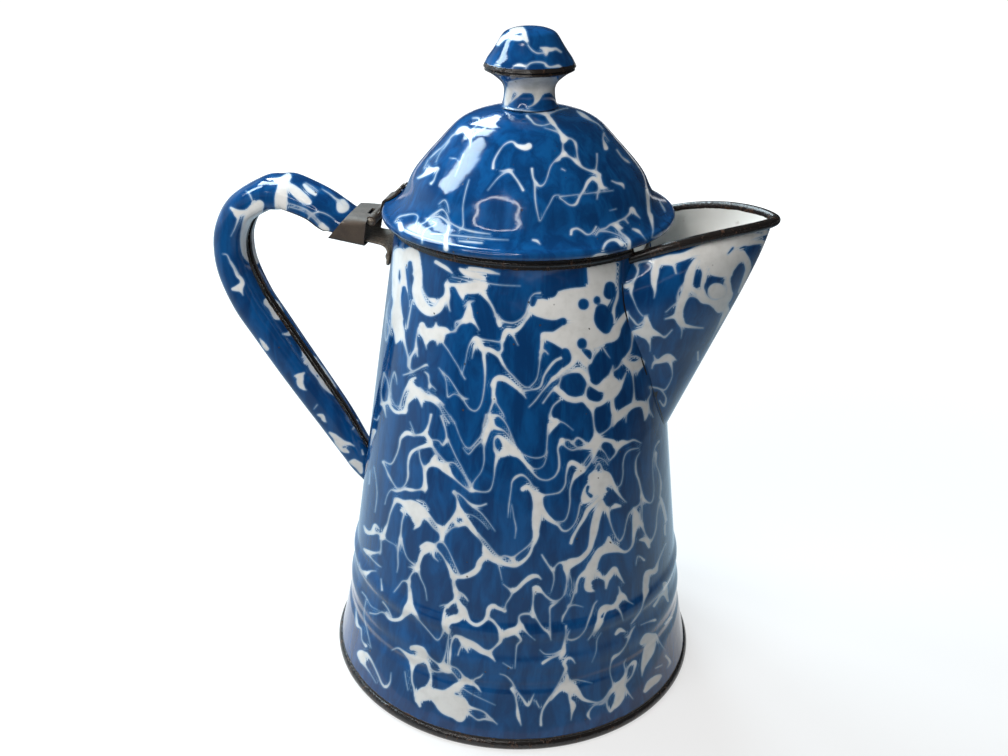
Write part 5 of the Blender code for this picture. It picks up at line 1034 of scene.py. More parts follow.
def rivet_piece(name, place, direction, low, high, radius, head_radius, head_height):
    """Rivet of two low domes on a shank, z = h (1 - (r / R) squared) on each head."""
    share = np.linspace(0, 1, 14)
    dome = np.stack([head_radius * (1 - share) ** 0.8, share], axis=1)
    dome[:, 1] = head_height * (1 - (dome[:, 0] / head_radius) ** 2.2)
    top = np.stack([dome[:, 0], high + dome[:, 1]], axis=1)
    bottom = np.stack([dome[::-1, 0], low - dome[::-1, 1]], axis=1)
    outline = np.concatenate([bottom, [(radius, low), (radius, high)], top])
    turn = np.array(Vector((0, 0, 1)).rotation_difference(Vector(direction)).to_matrix())
    points = turned_grid(outline, even_turn(48)) @ turn.T + np.array(place)
    return grid_object(name, points, loop_columns=True)


# Lid

TILT = math.radians(1.2)
DOME = ((0.300, 0.967), (0.400, 0.925), (0.478, 0.865), (0.541, 0.781), (0.600, 0.691), (0.690, 0.559),
        (0.755, 0.454), (0.795, 0.380), (0.820, 0.290), (0.855, 0.205), (0.905, 0.140), (0.938, 0.105))


def lid_seat(s):
    """Place of the lid's axis and bead from the hinge, its bead resting on the rim bead."""
    hinge_out = axis_x() - HINGE[0]
    run, rise = hinge_out - rim_centre_radius(s), s.rim_height - HINGE[2]
    rim_x = run * math.cos(TILT) + rise * math.sin(TILT)
    rim_z = rise * math.cos(TILT) - run * math.sin(TILT)
    centre = hinge_out + 0.0009
    gap = rim_x - (centre - s.lid_radius + s.lid_bead)
    reach = s.rim_bead + s.lid_bead + s.gap
    return centre, rim_z + math.sqrt(reach ** 2 - gap ** 2) - s.lid_bead, rim_z


def at_hinge(points):
    """Points measured from the hinge in the lid's tilted frame, moved to the frame."""
    c, n = math.cos(TILT), math.sin(TILT)
    x, y, z = points[..., 0], points[..., 1], points[..., 2]
    return np.stack([HINGE[0] + c * x - n * z, y, HINGE[2] + n * x + c * z], axis=-1)


def at_lid(s, points):
    """Points round the lid's own axis moved to the frame."""
    centre, bottom, _ = lid_seat(s)
    return at_hinge(points + np.array([centre, 0, bottom]))


def relaxed(line, spread):
    """Line averaged over a bell spread steps wide, its ends held."""
    reach = int(3 * spread)
    bell = np.exp(-0.5 * (np.arange(-reach, reach + 1) / spread) ** 2)
    bell /= bell.sum()
    longer = np.concatenate([2 * line[0] - line[reach:0:-1], line, 2 * line[-1] - line[-2:-reach - 2:-1]])
    return np.stack([np.convolve(longer[:, k], bell, "valid") for k in range(2)], axis=1)


def lid_line(s, count):
    """Outside of the lid from its rivet hole to the top of its rolled edge."""
    points = [(0.0025, s.lid_height), (0.0060, s.lid_height), (0.0098, s.lid_height)]
    points += [(s.lid_radius * r, s.lid_height * z) for r, z in DOME]
    points.append((s.lid_radius - s.lid_bead, 2 * s.lid_bead))
    return along(relaxed(smooth_line(points, 700), 22), count)


def lid_piece(s):
    """Lid turned from its outline, down to its rolled edge."""
    outer = lid_line(s, 190)
    middle = aside(outer, -s.sheet / 2)[:-1]
    middle = np.concatenate([middle, arc((s.lid_radius - s.lid_bead, s.lid_bead), s.lid_bead - s.sheet / 2,
                                         90, -160, 18)])
    outline = sheet_outline(middle, s.sheet)
    return grid_object("lid", at_lid(s, turned_grid(outline, front_angles(235))), loop_rows=True,
                       loop_columns=True, masks={"inside": from_row(len(middle), len(outline))})


def collar_piece(s):
    """Collar ring under the lid: skirt, flat seat and soft corners."""
    _, bottom, rim_z = lid_seat(s)
    seat = rim_z + s.rim_bead + s.gap + 0.0001 - bottom
    seat_radius = s.lid_radius - 2 * s.lid_bead - s.gap
    inner = aside(lid_line(s, 400), -s.sheet)
    top = float(np.interp(s.collar, inner[:, 0], inner[:, 1])) - s.gap
    inside = s.collar - s.sheet
    outline = np.array([(inside, -COLLAR_DEPTH), (s.collar, -COLLAR_DEPTH), (s.collar, seat),
                        (seat_radius, seat), (seat_radius, seat + s.sheet), (s.collar, seat + s.sheet),
                        (s.collar, top), (inside, top)])
    made = grid_object("lid_collar_ring", at_lid(s, turned_grid(outline, even_turn(200))), loop_rows=True,
                       loop_columns=True, masks={"inside": np.ones((len(outline), 1))})
    eased_edges(made, 0.0003)
    return made


def neck_piece(s):
    """Knob's neck: foot on the lid, waist and flare up to the seam."""
    foot = s.lid_height + s.gap
    rise = s.knob_seam_height - s.gap - s.sheet - foot
    line = [(0.0025, foot), (0.0060, foot), (NECK_FOOT, foot)]
    for end, table in ((NECK_FOOT, ((0.08, 0.60), (0.25, 0.08), (0.50, 0.0))),
                       (s.knob_seam, ((0.66, 0.12), (0.80, 0.38), (0.92, 0.68), (1.0, 0.95)))):
        line += [(NECK_WAIST + (end - NECK_WAIST) * out, foot + rise * k) for k, out in table]
    line = smooth_line(line, 70)
    outline = np.concatenate([line, aside(line, s.sheet)[::-1]])
    trim = step(0.93, 1.0, (outline[:, 1:] - foot) / rise)
    points = at_lid(s, turned_grid(outline, front_angles(170)))
    return grid_object("knob_neck_shell", points, loop_rows=True, loop_columns=True, masks={"trim": trim})


def cap_piece(s):
    """Knob's domed cap down to its crimped seam."""
    rise = s.knob_top - s.knob_seam_height
    table = ((0.0, 1.0), (0.18, 1.0), (0.36, 0.965), (0.53, 0.88), (0.62, 0.76), (0.70, 0.60), (0.80, 0.41),
             (0.91, 0.22), (0.975, 0.07), (1.0, 0.0))
    line = smooth_line([(s.knob_seam * r, s.knob_seam_height + rise * z) for r, z in table], 90)
    outline = np.concatenate([line, aside(line, -s.sheet)[::-1]])
    outline[[0, -1], 0] = 0
    trim = 1 - step(0.03, 0.17, (outline[:, 1:] - s.knob_seam_height) / rise)
    points = at_lid(s, turned_grid(outline, front_angles(200)))
    return grid_object("knob_cap_shell", points, loop_columns=True, masks={"trim": trim})


def leaf_piece(s):
    """Hinge leaf from its knuckle over the lid's bead and up the flare."""
    centre, bottom, _ = lid_seat(s)
    lift = s.gap + s.tin / 2
    bead = (centre - s.lid_radius + s.lid_bead, bottom + s.lid_bead)
    high = KNUCKLE_RADIUS - s.tin / 2
    outer = aside(lid_line(s, 200), lift)
    flare = outer[(outer[:, 0] > 0.0455) & (outer[:, 0] < s.lid_radius - 2 * s.lid_bead)][::-8]
    points = np.concatenate([[(0, high), (KNUCKLE_RADIUS, high)], arc(bead, s.lid_bead + lift, 170, 95, 6),
                             np.stack([centre - flare[:, 0], bottom + flare[:, 1]], axis=1)])
    line = smooth_line(points, 70)
    share = np.clip((np.hypot(line[:, 0], line[:, 1]) - 0.0038) / 0.0038, 0, 1)
    half = 0.0030 + 0.0022 * share
    half[-8:] = half[-8:] * np.sqrt(1 - np.linspace(0, 0.8, 8) ** 2)
    points = at_hinge(strap_grid(line, half, s.tin, 11))
    made = grid_object("hinge_leaf", points, loop_columns=True, caps=True)
    joined(made, hinge_bar("knuckle", s.gap - NOTCH_HALF, NOTCH_HALF - s.gap, KNUCKLE_RADIUS), "UNION")
    joined(made, hinge_bar("bore", -NOTCH_HALF, NOTCH_HALF, BORE_RADIUS), "DIFFERENCE")
    return made


# Finishes

class Num:
    """A number socket on which arithmetic adds Math nodes."""

    def __init__(self, graph, socket):
        """Keeps the graph and the socket."""
        self.graph = graph
        self.socket = socket

    def maths(self, operation, *values):
        """Result of a Math node on this number and others."""
        made = self.graph.node("Math", {"operation": operation}, dict(enumerate((self, *values))))
        return Num(self.graph, made.outputs[0])

    def __add__(self, other):
        return self.maths("ADD", other)

    def __sub__(self, other):
        return self.maths("SUBTRACT", other)

    def __mul__(self, other):
        return self.maths("MULTIPLY", other)

    def __truediv__(self, other):
        return self.maths("DIVIDE", other)

    def __rsub__(self, other):
        return (self * -1.0) + other

    __radd__ = __add__
    __rmul__ = __mul__

    def larger(self, other):
        """The larger of two numbers."""
        return self.maths("MAXIMUM", other)

    def smaller(self, other):
        """The smaller of two numbers."""
        return self.maths("MINIMUM", other)

    def beside(self, other):
        """Length of the way that two numbers make at right angles."""
        return (self * self + other * other).maths("POWER", 0.5)

    def step(self, low, high):
        """Smooth step from 0 at low to 1 at high."""
        made = self.graph.node("MapRange", {"interpolation_type": "SMOOTHSTEP"},
                               {"Value": self, "From Min": low, "From Max": high})
        return Num(self.graph, made.outputs[0])


class Graph:
    """Nodes of a material or of the world."""

    def __init__(self, tree, place):
        """Keeps the tree and the vector of a Texture Coordinate output."""
        self.tree = tree
        self.place = self.node("TexCoord").outputs[place]

    def node(self, kind, settings=None, inputs=None):
        """A shader node with its settings, then the values or links of its sockets."""
        made = self.tree.nodes.new("ShaderNode" + kind)
        for key, value in (settings or {}).items():
            setattr(made, key, value)
        for key, value in (inputs or {}).items():
            self.feed(made.inputs[key], value)
        return made

    def feed(self, socket, value):
        """Links or sets a socket."""
        if isinstance(value, Num):
            value = value.socket
        if isinstance(value, bpy.types.NodeSocket):
            self.tree.links.new(value, socket)
        elif hasattr(socket.default_value, "__len__") and len(value) == 3 and len(socket.default_value) == 4:
            socket.default_value = (*value, 1.0)
        else:
            socket.default_value = value

    def parts(self, vector):
        """The three numbers of a vector."""
        made = self.node("SeparateXYZ", None, {0: vector})
        return [Num(self, socket) for socket in made.outputs]

    def seen_by(self, *rays):
        """One for the named kinds of ray."""
        path = self.node("LightPath")
        seen = Num(self, path.outputs[rays[0]])
        for ray in rays[1:]:
            seen = seen.larger(Num(self, path.outputs[ray]))
        return seen


class Finish(Graph):
    """A material and its node graph."""

    def __init__(self, name):
        """Makes the material with its Principled shader."""
        self.material = bpy.data.materials.new(name)
        self.material.use_nodes = True
        self.shader = self.material.node_tree.nodes["Principled BSDF"]
        super().__init__(self.material.node_tree, "Object")

    def way(self, name):
        """Distance and half width that a piece's points carry for their nearest run."""
        vector = self.node("Attribute", {"attribute_name": name + "_way"}).outputs["Vector"]
        x, y, width = self.parts(vector)
        return x.beside(y), width

    def run(self, name):
        """Depth in the runs laid on a piece, kept sharp for hairlines, and their half width."""
        depth = self.mask(name) - DEPTH_LIMIT
        distance, width = self.way(name)
        return depth.larger((width - distance).smaller(depth + 0.00035)), width

    def mask(self, name):
        """Number that a piece's points carry."""
        return Num(self, self.node("Attribute", {"attribute_name": name}).outputs["Fac"])

    def moved(self, offset, scale=(1, 1, 1)):
        """Object coordinates scaled and shifted."""
        inputs = {"Vector": self.place, "Location": offset, "Scale": scale}
        return self.node("Mapping", None, inputs).outputs[0]

    def noise(self, size, detail=3.0, roughness=0.55, distortion=0.0, vector=None):
        """Noise from 0 to 1 whose features are about size metres."""
        inputs = {"Vector": self.place if vector is None else vector, "Scale": 1 / size, "Detail": detail,
                  "Roughness": roughness, "Distortion": distortion}
        return Num(self, self.node("TexNoise", None, inputs).outputs[0])

    def warped(self, vector, size, amount, detail=2.0):
        """Vector pushed about by noise, up to about amount metres."""
        inputs = {"Vector": vector, "Scale": 1 / size, "Detail": detail, "Roughness": 0.5}
        made = self.node("TexNoise", None, inputs)
        centred = self.vectors("SUBTRACT", made.outputs["Color"], (0.5, 0.5, 0.5))
        pushed = self.node("VectorMath", {"operation": "SCALE"}, {0: centred, "Scale": 2 * amount})
        return self.vectors("ADD", vector, pushed.outputs[0])

    def vectors(self, operation, one, other):
        """Result of a Vector Math node on two vectors."""
        return self.node("VectorMath", {"operation": operation}, {0: one, 1: other}).outputs[0]

    def cells(self, vector, size, feature):
        """Cell pattern whose cells are about size metres: its distance and its colour."""
        made = self.node("TexVoronoi", {"feature": feature},
                         {"Vector": vector, "Scale": 1 / size, "Randomness": 1.0})
        return Num(self, made.outputs["Distance"]), made.outputs.get("Color")

    def mixed(self, factor, low, high):
        """Colour between low and high."""
        made = self.node("Mix", {"data_type": "RGBA", "clamp_factor": True})
        self.feed(made.inputs[0], factor)
        self.feed(made.inputs[6], low)
        self.feed(made.inputs[7], high)
        return made.outputs[2]

    def bumped(self, height, distance):
        """Feeds a height through a Bump node to the shader's normal."""
        made = self.node("Bump", None, {"Height": height, "Distance": distance, "Strength": 1.0})
        self.feed(self.shader.inputs["Normal"], made.outputs[0])

    def set(self, **sockets):
        """Sets or links the shader's sockets, named with underscores for spaces."""
        for key, value in sockets.items():
            self.feed(self.shader.inputs[key.replace("_", " ")], value)


def swirl_finish(name, c, p, thickness=0.0, cell_scale=1.0, offset=(0, 0, 0), squash=1.0, drag=1.0,
                 grime=0.35):
    """Glossy blue enamel under a foam of white veins, worn black at its trim and grey-white inside.

    The veins are the cell edges of a wandering Voronoi pattern, thick where three cells meet and
    thin between. They give way to the listed runs wherever those are.
    """
    f = Finish(name)
    cell = p.cell * cell_scale
    comb = f.noise(cell * 0.95, 1.5, 0.4, vector=f.moved(offset, (1, 1, 0.16))) - 0.5
    flat = f.node("CombineXYZ", None, {"Z": comb * (p.drag * drag)}).outputs[0]
    base = f.vectors("MULTIPLY", f.vectors("ADD", f.moved(offset), flat), (1, 1, squash))
    wander = f.warped(f.warped(base, cell * 1.6, p.wave), cell * 0.45, p.wave * 0.25)
    edge = f.cells(wander, cell, "DISTANCE_TO_EDGE")[0] * cell
    round_cell = f.cells(wander, cell, "F1")[0] * cell
    amount = f.noise(cell * 2.2, 2.0, vector=f.moved((0.3, 0.1, 0.2)))
    thin = p.vein * (amount * 3.0 - 0.55) - edge * 0.5
    junction = round_cell - cell * (0.90 - thickness * 0.25 - amount * 0.30)
    field = thin.larger(junction)
    bare = f.mask("bare")
    # The laid runs hold a few painted window reflections and a painted highlight streak, which come out
    # white like the swirls.
    painted, painted_width = f.run("painted")
    ragged = (f.noise(0.0016, 3.0) - 0.5) * 0.00022
    field = (field - bare * 0.02).larger(painted) + ragged
    sheer = 1 - (1 - painted_width.step(0.00015, 0.00060)) * bare * 0.45
    white = field.step(-0.00014, 0.00014) * sheer
    halo = field.step(-0.0007, 0.0) * (1 - white)
    streak = f.noise(0.006, 4.0, 0.6, 0.6, f.moved((0, 0, 0), (1, 1, 0.25)))
    blue = f.mixed(streak.step(0.35, 0.70), c.deep_blue, c.blue)
    blue = f.mixed(halo * 0.30, blue, c.light_blue)
    body_white = f.mixed(field.step(0.0, 0.0007), c.thin_white, c.white)
    dirty = f.noise(0.004, 4.0).step(0.45 - grime * 0.3, 0.85) * grime
    body_white = f.mixed(dirty, body_white, (0.36, 0.35, 0.32))
    coat = f.mixed(white, blue, body_white)
    speck_cell = 0.0042
    specks, random = f.cells(f.place, speck_cell, "F1")
    rare = Num(f, f.node("SeparateColor", None, {"Color": random}).outputs[0])
    speck = (rare * 0.0009 - 0.00062 - specks * speck_cell * 0.6).step(-0.00008, 0.0001) * 0.85
    coat = f.mixed(speck, coat, (0.02, 0.014, 0.010))
    crack = (f.run("crack")[0] + ragged * 0.6).step(-0.00008, 0.00012)
    coat = f.mixed(crack, coat, (0.012, 0.010, 0.010))
    liner_tone = f.noise(0.02, 4.0).step(0.3, 0.8)
    liner = f.mixed(liner_tone * 0.22, c.liner, (0.42, 0.42, 0.40))
    stain = f.noise(0.007, 5.0, 0.65).step(0.60, 0.78)
    liner = f.mixed(stain * 0.4, liner, (0.16, 0.10, 0.06))
    inside = f.mask("inside").step(0.4, 0.6)
    coat = f.mixed(inside, coat, liner)
    wear = f.noise(0.0035, 5.0, 0.65)
    fine = f.noise(0.0009, 3.0, 0.6)
    trim = (f.mask("trim") + (wear - 0.5) * 0.8).step(0.42, 0.56)
    rusty = (wear * 0.7 + fine * 0.3).step(0.53, 0.68)
    rim = f.mixed(rusty, c.trim, c.rust)
    rim = f.mixed((fine * 0.6 + wear * 0.4).step(0.64, 0.74) * 0.5, rim, (0.17, 0.10, 0.06))
    f.set(Base_Color=f.mixed(trim, coat, rim))
    f.set(Roughness=(0.075 + streak * 0.05) * (1 - trim) + trim * (0.22 + rusty * 0.3) + speck * 0.3)
    swell = f.noise(0.011, 2.0)
    height = white * 0.10 + swell * 0.9 + f.noise(0.0012, 2.0) * 0.035 - speck * 0.3
    height = height + trim * (wear * 0.8 + fine * 0.35)
    f.bumped(height, 0.00022)
    f.shader.inputs["IOR"].default_value = 1.42
    return f.material


def trim_finish(c):
    """Black enamel worn through to brown rust, for the foot bead and the bottom."""
    f = Finish("worn_black_enamel")
    wear = f.noise(0.0040, 5.0, 0.68)
    fine = f.noise(0.0010, 3.0, 0.6)
    rusty = (wear * 0.7 + fine * 0.3).step(0.54, 0.68)
    tone = f.mixed(rusty, c.trim, c.rust)
    tone = f.mixed((fine * 0.5 + wear * 0.5).step(0.65, 0.75) * 0.5, tone, (0.18, 0.10, 0.06))
    inside = f.mask("inside").step(0.4, 0.6)
    tone = f.mixed(inside, tone, f.mixed(wear.step(0.5, 0.75) * 0.6, c.liner, (0.12, 0.08, 0.05)))
    f.set(Base_Color=tone, Roughness=0.16 + rusty * 0.4)
    f.bumped(wear * 0.8 + fine * 0.4, 0.00030)
    return f.material


def tin_finish(name, c, bright=0.35, metallic=0.75, rough=0.42):
    """Tarnished tinned iron, brown-grey and mottled, with rubbed bright places."""
    f = Finish(name)
    cloud = f.noise(0.005, 5.0, 0.62)
    fine = f.noise(0.0008, 4.0, 0.65)
    scratch = f.noise(0.004, 4.0, 0.6, vector=f.moved((0, 0, 0), (1, 5, 5)))
    tone = f.mixed(cloud.step(0.35, 0.65), c.tin, (0.050, 0.036, 0.028))
    rubbed = (cloud * 0.35 + scratch * 0.35 + fine * 0.3).step(0.60 - bright * 0.12, 0.72)
    tone = f.mixed(rubbed * 0.8, tone, c.bright_tin)
    tone = f.mixed((fine * 0.6 + cloud * 0.4).step(0.58, 0.68) * 0.5, tone, c.rust)
    f.set(Base_Color=tone, Roughness=rough + cloud * 0.2 - rubbed * 0.15)
    f.shader.inputs["Metallic"].default_value = metallic
    f.bumped(fine * 0.5 + cloud * 0.6 + scratch * 0.3, 0.00018)
    return f.material


# Operators

def settings():
    """The sizes, colours, pattern and view of the scene."""
    scene = bpy.context.scene
    return scene.pot_sizes, scene.pot_colours, scene.pot_pattern, scene.pot_view


def dressed(piece, material, body, slot, *nodes):
    """Gives a piece its finish and its body, and hides the frame nodes it stands for. The slot is not used.
    """
    piece.data.materials.clear()
    piece.data.materials.append(material)
    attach(piece, body)
    if nodes:
        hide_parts(*nodes)
    return piece


class POT_OT_body(bpy.types.Operator):
    """Body wall with its ribs, rim bead and white inside"""

    bl_idname = "coffee_pot.body"
    bl_label = "Body"

    def execute(self, context):
        s, c, p, _ = settings()
        finish = swirl_finish("body_swirl_enamel", c, p, 0.2, 1.35, (0.02, 0.01, 0.04), 1.7)
        dressed(swirled(body_piece(s)), finish, "pot", "blue_enamel", "body_shell")
        dressed(base_piece(s), trim_finish(c), "pot", "black_enamel", "base_plate")
        return {"FINISHED"}


class POT_OT_spout(bpy.types.Operator):
    """Spout sheet with its rolled rim"""

    bl_idname = "coffee_pot.spout"
    bl_label = "Spout"

    def execute(self, context):
        s, c, p, _ = settings()
        finish = swirl_finish("spout_swirl_enamel", c, p, 0.6, 0.85, (0.05, 0.03, 0.0), 1.0, 0.3)
        dressed(swirled(spout_piece(s)), finish, "pot", "blue_enamel", "spout_shell")
        return {"FINISHED"}


class POT_OT_handle(bpy.types.Operator):
    """Handle channel with its sleeve, bracket, rivets and hinge pin"""

    bl_idname = "coffee_pot.handle"
    bl_label = "Handle"

    def execute(self, context):
        s, c, p, _ = settings()
        finish = swirl_finish("handle_swirl_enamel", c, p, 0.1, 1.1, (0.01, 0.07, 0.02), 1.0, 0.2)
        dressed(swirled(handle_piece(s)), finish, "pot", "blue_enamel", "handle_shell")
        dull = tin_finish("sleeve_tarnished_tin", c, 0.2, 0.35, 0.50)
        worn = tin_finish("bracket_rubbed_tin", c, 2.0, 0.30, 0.42)
        dressed(sleeve_piece(s), dull, "pot", "aged_tin", "handle_clip")
        dressed(bracket_piece(s), worn, "pot", "aged_tin", "handle_bracket")
        for node in ("bracket_rivet_left", "bracket_rivet_right", "clip_rivet", "hinge_pin"):
            self.rivet(s, node, worn)
        return {"FINISHED"}

    def rivet(self, s, node, material):
        """Fine rivet in the box of the plain one."""
        low, high = (np.array(v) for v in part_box(node))
        middle = (low + high) / 2
        fitting = node + "_domed"
        slope = math.atan2(s.foot_cone - s.rim_cone, s.cone_height)
        if node.startswith("bracket"):
            radial = np.array([-math.cos(slope), 0, math.sin(slope)])
            place = np.array([axis_x() - wall_radius(s, BRACKET_RIVET_HEIGHT), middle[1],
                              BRACKET_RIVET_HEIGHT])
            piece = rivet_piece(fitting, place, radial, -0.0018, 0.0015, *RIVET)
        elif node == "clip_rivet":
            start, end = (np.array([x, 0, z]) for x, z in SLEEVE_LOW)
            run = (end - start) / np.linalg.norm(end - start)
            place = at_body(end) - run * CLIP_RIVET_INSIDE
            piece = rivet_piece(fitting, place, (-run[2], 0, run[0]), -0.0003, 0.0021, *RIVET)
        else:
            place = (HINGE[0], 0, HINGE[2])
            piece = rivet_piece(node + "_fine", place, (0, 1, 0), -PIN_HALF, PIN_HALF, *PIN)
        dressed(piece, material, "pot", "aged_tin", node)


class POT_OT_lid(bpy.types.Operator):
    """Lid, collar and hinge leaf"""

    bl_idname = "coffee_pot.lid"
    bl_label = "Lid"

    def execute(self, context):
        s, c, p, _ = settings()
        finish = swirl_finish("lid_swirl_enamel", c, p, -0.3, 1.9, (0.04, 0.02, 0.01), 1.0, 0.4)
        dressed(swirled(lid_piece(s)), finish, "lid", "blue_enamel", "lid_shell")
        dressed(collar_piece(s), finish, "lid", "white_enamel", "lid_collar")
        worn = tin_finish("leaf_tarnished_tin", c, 0.4, 0.7, 0.42)
        dressed(leaf_piece(s), worn, "lid", "aged_tin", "lid_hinge_leaf")
        return {"FINISHED"}


class POT_OT_knob(bpy.types.Operator):
    """Knob neck and cap"""

    bl_idname = "coffee_pot.knob"
    bl_label = "Knob"

    def execute(self, context):
        s, c, p, _ = settings()
        finish = swirl_finish("neck_swirl_enamel", c, p, 1.1, 0.7, (0.03, 0.02, 0.05), 0.8, 0.3, 0.85)
        dressed(swirled(neck_piece(s)), finish, "lid", "blue_enamel", "knob_neck")
        finish = swirl_finish("cap_swirl_enamel", c, p, 0.0, 1.0, (0.01, 0.04, 0.03), 1.0, 0.3)
        dressed(swirled(cap_piece(s)), finish, "lid", "blue_enamel", "knob_cap")
        return {"FINISHED"}


class POT_OT_hidden_iron(bpy.types.Operator):
    """Finishes of the wires, washer and small rivets of the frame"""

    bl_idname = "coffee_pot.hidden_iron"
    bl_label = "Wires And Rivets"

    def execute(self, context):
        _, c, _, _ = settings()
        iron = tin_finish("iron_wire_grey", c, 0.6, 0.9, 0.40)
        for node in ("body_rim_wire", "spout_rim_wire", "knob_washer", "knob_rivet", "leaf_rivet_left",
                     "leaf_rivet_right"):
            made = frame["nodes"][node]
            made.data.materials.clear()
            made.data.materials.append(iron)
        return {"FINISHED"}


class POT_OT_stage(bpy.types.Operator):
    """Pale floor, soft lamps, white surroundings and the camera"""

    bl_idname = "coffee_pot.stage"
    bl_label = "Stage"

    def execute(self, context):
        _, c, _, v = settings()
        self.floor(c)
        self.world()
        self.lamps()
        self.card()
        self.camera(v)
        context.scene.view_settings.view_transform = "Standard"
        return {"FINISHED"}

    def floor(self, c):
        """Wide floor, grey to the lamps and white to the camera and to reflections."""
        f = Finish("pale_floor")
        f.set(Base_Color=tuple(c.floor), Roughness=0.9, Specular_IOR_Level=0.0)
        seen = f.seen_by("Is Camera Ray", "Is Glossy Ray", "Is Transmission Ray")
        x, y, _ = f.parts(f.place)
        far = x.beside(y).step(0.25, 0.90)
        f.set(Emission_Color=f.mixed(seen, (0, 0, 0), (1, 1, 1)))
        f.set(Emission_Strength=far * (1 - FLOOR_GLOW) + FLOOR_GLOW)
        corners = [[(x * FLOOR_HALF, y * FLOOR_HALF, 0) for x in (-1, 1)] for y in (-1, 1)]
        made = grid_object("floor", np.array(corners, float))
        made.data.materials.append(f.material)

    def world(self):
        """White background, a low even light, and for reflections a dark room open to the left."""
        world = bpy.data.worlds.new("white_room")
        bpy.context.scene.world = world
        world.use_nodes = True
        g = Graph(world.node_tree, "Generated")
        x, y, z = g.parts(g.place)
        left = (x * -1.0 / x.beside(y).larger(0.001)).step(0.45, 0.85)
        open_side = left * (1 - z.step(0.20, 0.50))
        glossy = g.seen_by("Is Glossy Ray")
        level = open_side * (OPEN_SIDE - ROOM_DARK) + ROOM_DARK
        level = (level * glossy).larger((1 - glossy) * EVEN_LIGHT)
        level = level.larger(g.seen_by("Is Camera Ray", "Is Transmission Ray"))
        back = world.node_tree.nodes["Background"]
        tint = g.node("Mix", {"data_type": "RGBA"}, {0: glossy, 6: (1, 1, 1), 7: OPEN_TINT})
        g.feed(back.inputs["Color"], tint.outputs[2])
        g.feed(back.inputs["Strength"], level)

    def lamps(self):
        """Three window panes at the back left and a soft lamp before the pot, with its bright ring."""
        middle = Vector((axis_x(), 0, 0.15))
        across = Vector((-WINDOW_WAY[1], WINDOW_WAY[0], 0)).normalized()
        centre = middle + Vector(WINDOW_WAY)
        for k in (-1, 0, 1):
            self.lamp("window_pane_%d" % (k + 2), centre + across * (k * PANE_STEP), middle, PANE_WIDE,
                      PANE_HIGH, WINDOW_POWER, (0.74, 0.91, 1.0))
        front = self.lamp("front_lamp", RING_CENTRE, middle, FRONT_SIZE, FRONT_SIZE, FRONT_POWER,
                          (1.0, 0.985, 0.96))
        front.visible_glossy = False
        f = Finish("ring_glow")
        f.set(Base_Color=(0, 0, 0), Roughness=1.0, Specular_IOR_Level=0.0, Emission_Color=(1.0, 0.99, 0.97),
              Emission_Strength=RING_GLOW)
        along_ring = Vector(RING_AXIS).normalized()
        turn = np.array(Vector((0, 0, 1)).rotation_difference(along_ring).to_matrix())
        band = np.array([(RING_RADIUS - RING_HALF, 0.0), (RING_RADIUS + RING_HALF, 0.0)])
        points = turned_grid(band, even_turn(96)) @ turn.T + np.array(RING_CENTRE)
        self.reflected_only(grid_object("ring_lamp", points, loop_columns=True), f)

    def lamp(self, name, place, target, wide, high, power, tone):
        """Rectangular lamp that faces a target."""
        light = bpy.data.lights.new(name, "AREA")
        light.shape = "RECTANGLE"
        light.size, light.size_y, light.energy, light.color = wide, high, power, tone
        made = bpy.data.objects.new(name, light)
        made.location = place
        made.rotation_euler = (target - Vector(place)).to_track_quat("-Z", "Y").to_euler()
        bpy.context.scene.collection.objects.link(made)
        return made

    def reflected_only(self, made, finish):
        """Puts a piece of the room where only reflections see it."""
        made.data.materials.append(finish.material)
        made.visible_camera = False
        made.visible_diffuse = False
        made.visible_shadow = False
        made.visible_transmission = False

    def card(self):
        """Ground that reflections see, pale near the pot and at the left and dark elsewhere."""
        f = Finish("dark_card")
        x, y, _ = f.parts(f.place)
        across = x.beside(y)
        facing = (x * OPEN_WAY[0] + y * OPEN_WAY[1]) / across
        near = NEAR_GLOW - across.step(0.16, 0.50) * NEAR_GLOW
        f.set(Base_Color=(0.05, 0.05, 0.055), Roughness=1.0, Specular_IOR_Level=0.0,
              Emission_Color=OPEN_TINT, Emission_Strength=(facing.step(0.45, 0.88) * OPEN_SIDE).larger(near))
        band = at_body(turned_grid(np.array([(0.093, 0.002), (2.5, 0.002)]), even_turn(90)))
        self.reflected_only(grid_object("dark_ground", band, loop_columns=True), f)

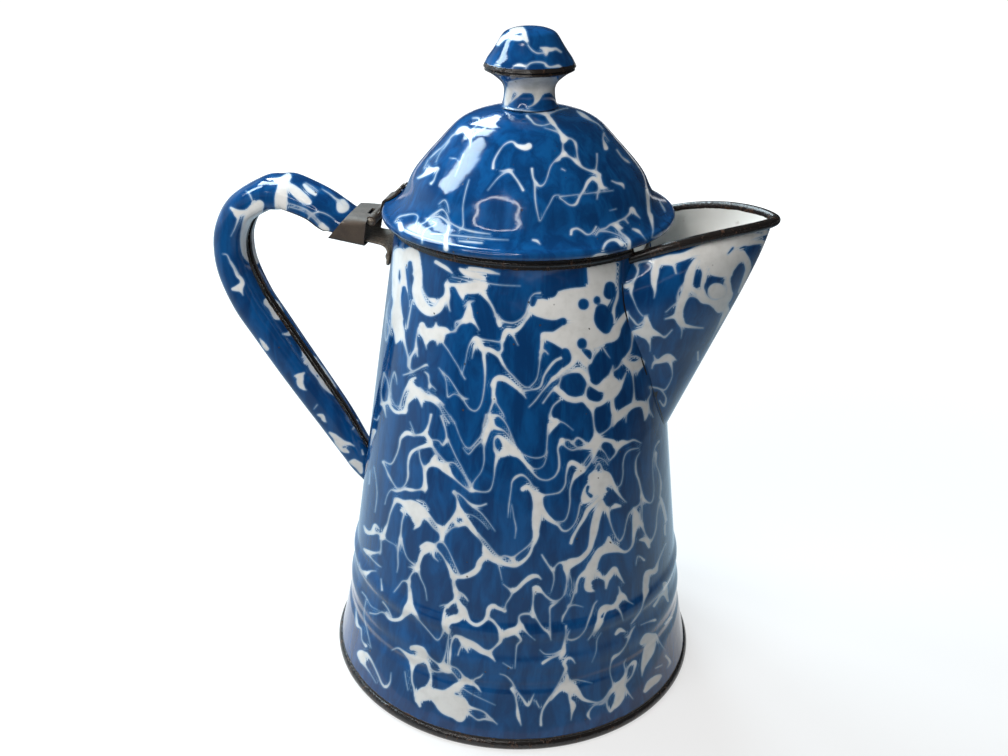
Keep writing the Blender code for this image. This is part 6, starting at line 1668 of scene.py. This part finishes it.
    def camera(self, v):
        """Camera at its place round the pot."""
        place, axes = camera_axes(v)
        turned = Matrix(axes.T.tolist()).to_4x4()
        camera = bpy.data.cameras.new("camera")
        camera.sensor_width = 36.0
        camera.lens = camera.sensor_width * v.focal
        made = bpy.data.objects.new("camera", camera)
        made.matrix_world = Matrix.Translation(Vector(place)) @ turned
        bpy.context.scene.collection.objects.link(made)
        bpy.context.scene.camera = made


class POT_PT_panel(bpy.types.Panel):
    """Sidebar panel of the coffee pot"""

    bl_label = "Coffee Pot"
    bl_idname = "POT_PT_panel"
    bl_space_type = "VIEW_3D"
    bl_region_type = "UI"
    bl_category = "Coffee Pot"

    def draw(self, context):
        layout = self.layout
        for operator in OPERATORS:
            layout.operator(operator.bl_idname)
        for group in (context.scene.pot_sizes, context.scene.pot_colours, context.scene.pot_pattern,
                      context.scene.pot_view):
            box = layout.box()
            for name in group.__annotations__:
                box.prop(group, name)


GROUPS = {"pot_sizes": PotSizes, "pot_colours": EnamelColours, "pot_pattern": PatternSettings,
          "pot_view": ViewSettings}
OPERATORS = (POT_OT_body, POT_OT_spout, POT_OT_handle, POT_OT_lid, POT_OT_knob, POT_OT_hidden_iron,
             POT_OT_stage)


def register():
    """Registers the classes and hangs the settings on the scene."""
    for group in GROUPS.values():
        bpy.utils.register_class(group)
    for operator in OPERATORS:
        bpy.utils.register_class(operator)
    bpy.utils.register_class(POT_PT_panel)
    for name, group in GROUPS.items():
        setattr(bpy.types.Scene, name, PointerProperty(type=group))


def unregister():
    """Takes the settings and the classes away."""
    for name in GROUPS:
        delattr(bpy.types.Scene, name)
    for made in (POT_PT_panel, *reversed(OPERATORS), *GROUPS.values()):
        bpy.utils.unregister_class(made)


def main():
    """Registers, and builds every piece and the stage."""
    register()
    for operator in OPERATORS:
        family, call = operator.bl_idname.split(".")
        if getattr(getattr(bpy.ops, family), call)() != {"FINISHED"}:
            raise RuntimeError(operator.bl_label + " could not be built")
    bpy.context.view_layer.update()


if __name__ == "__main__":
    main()
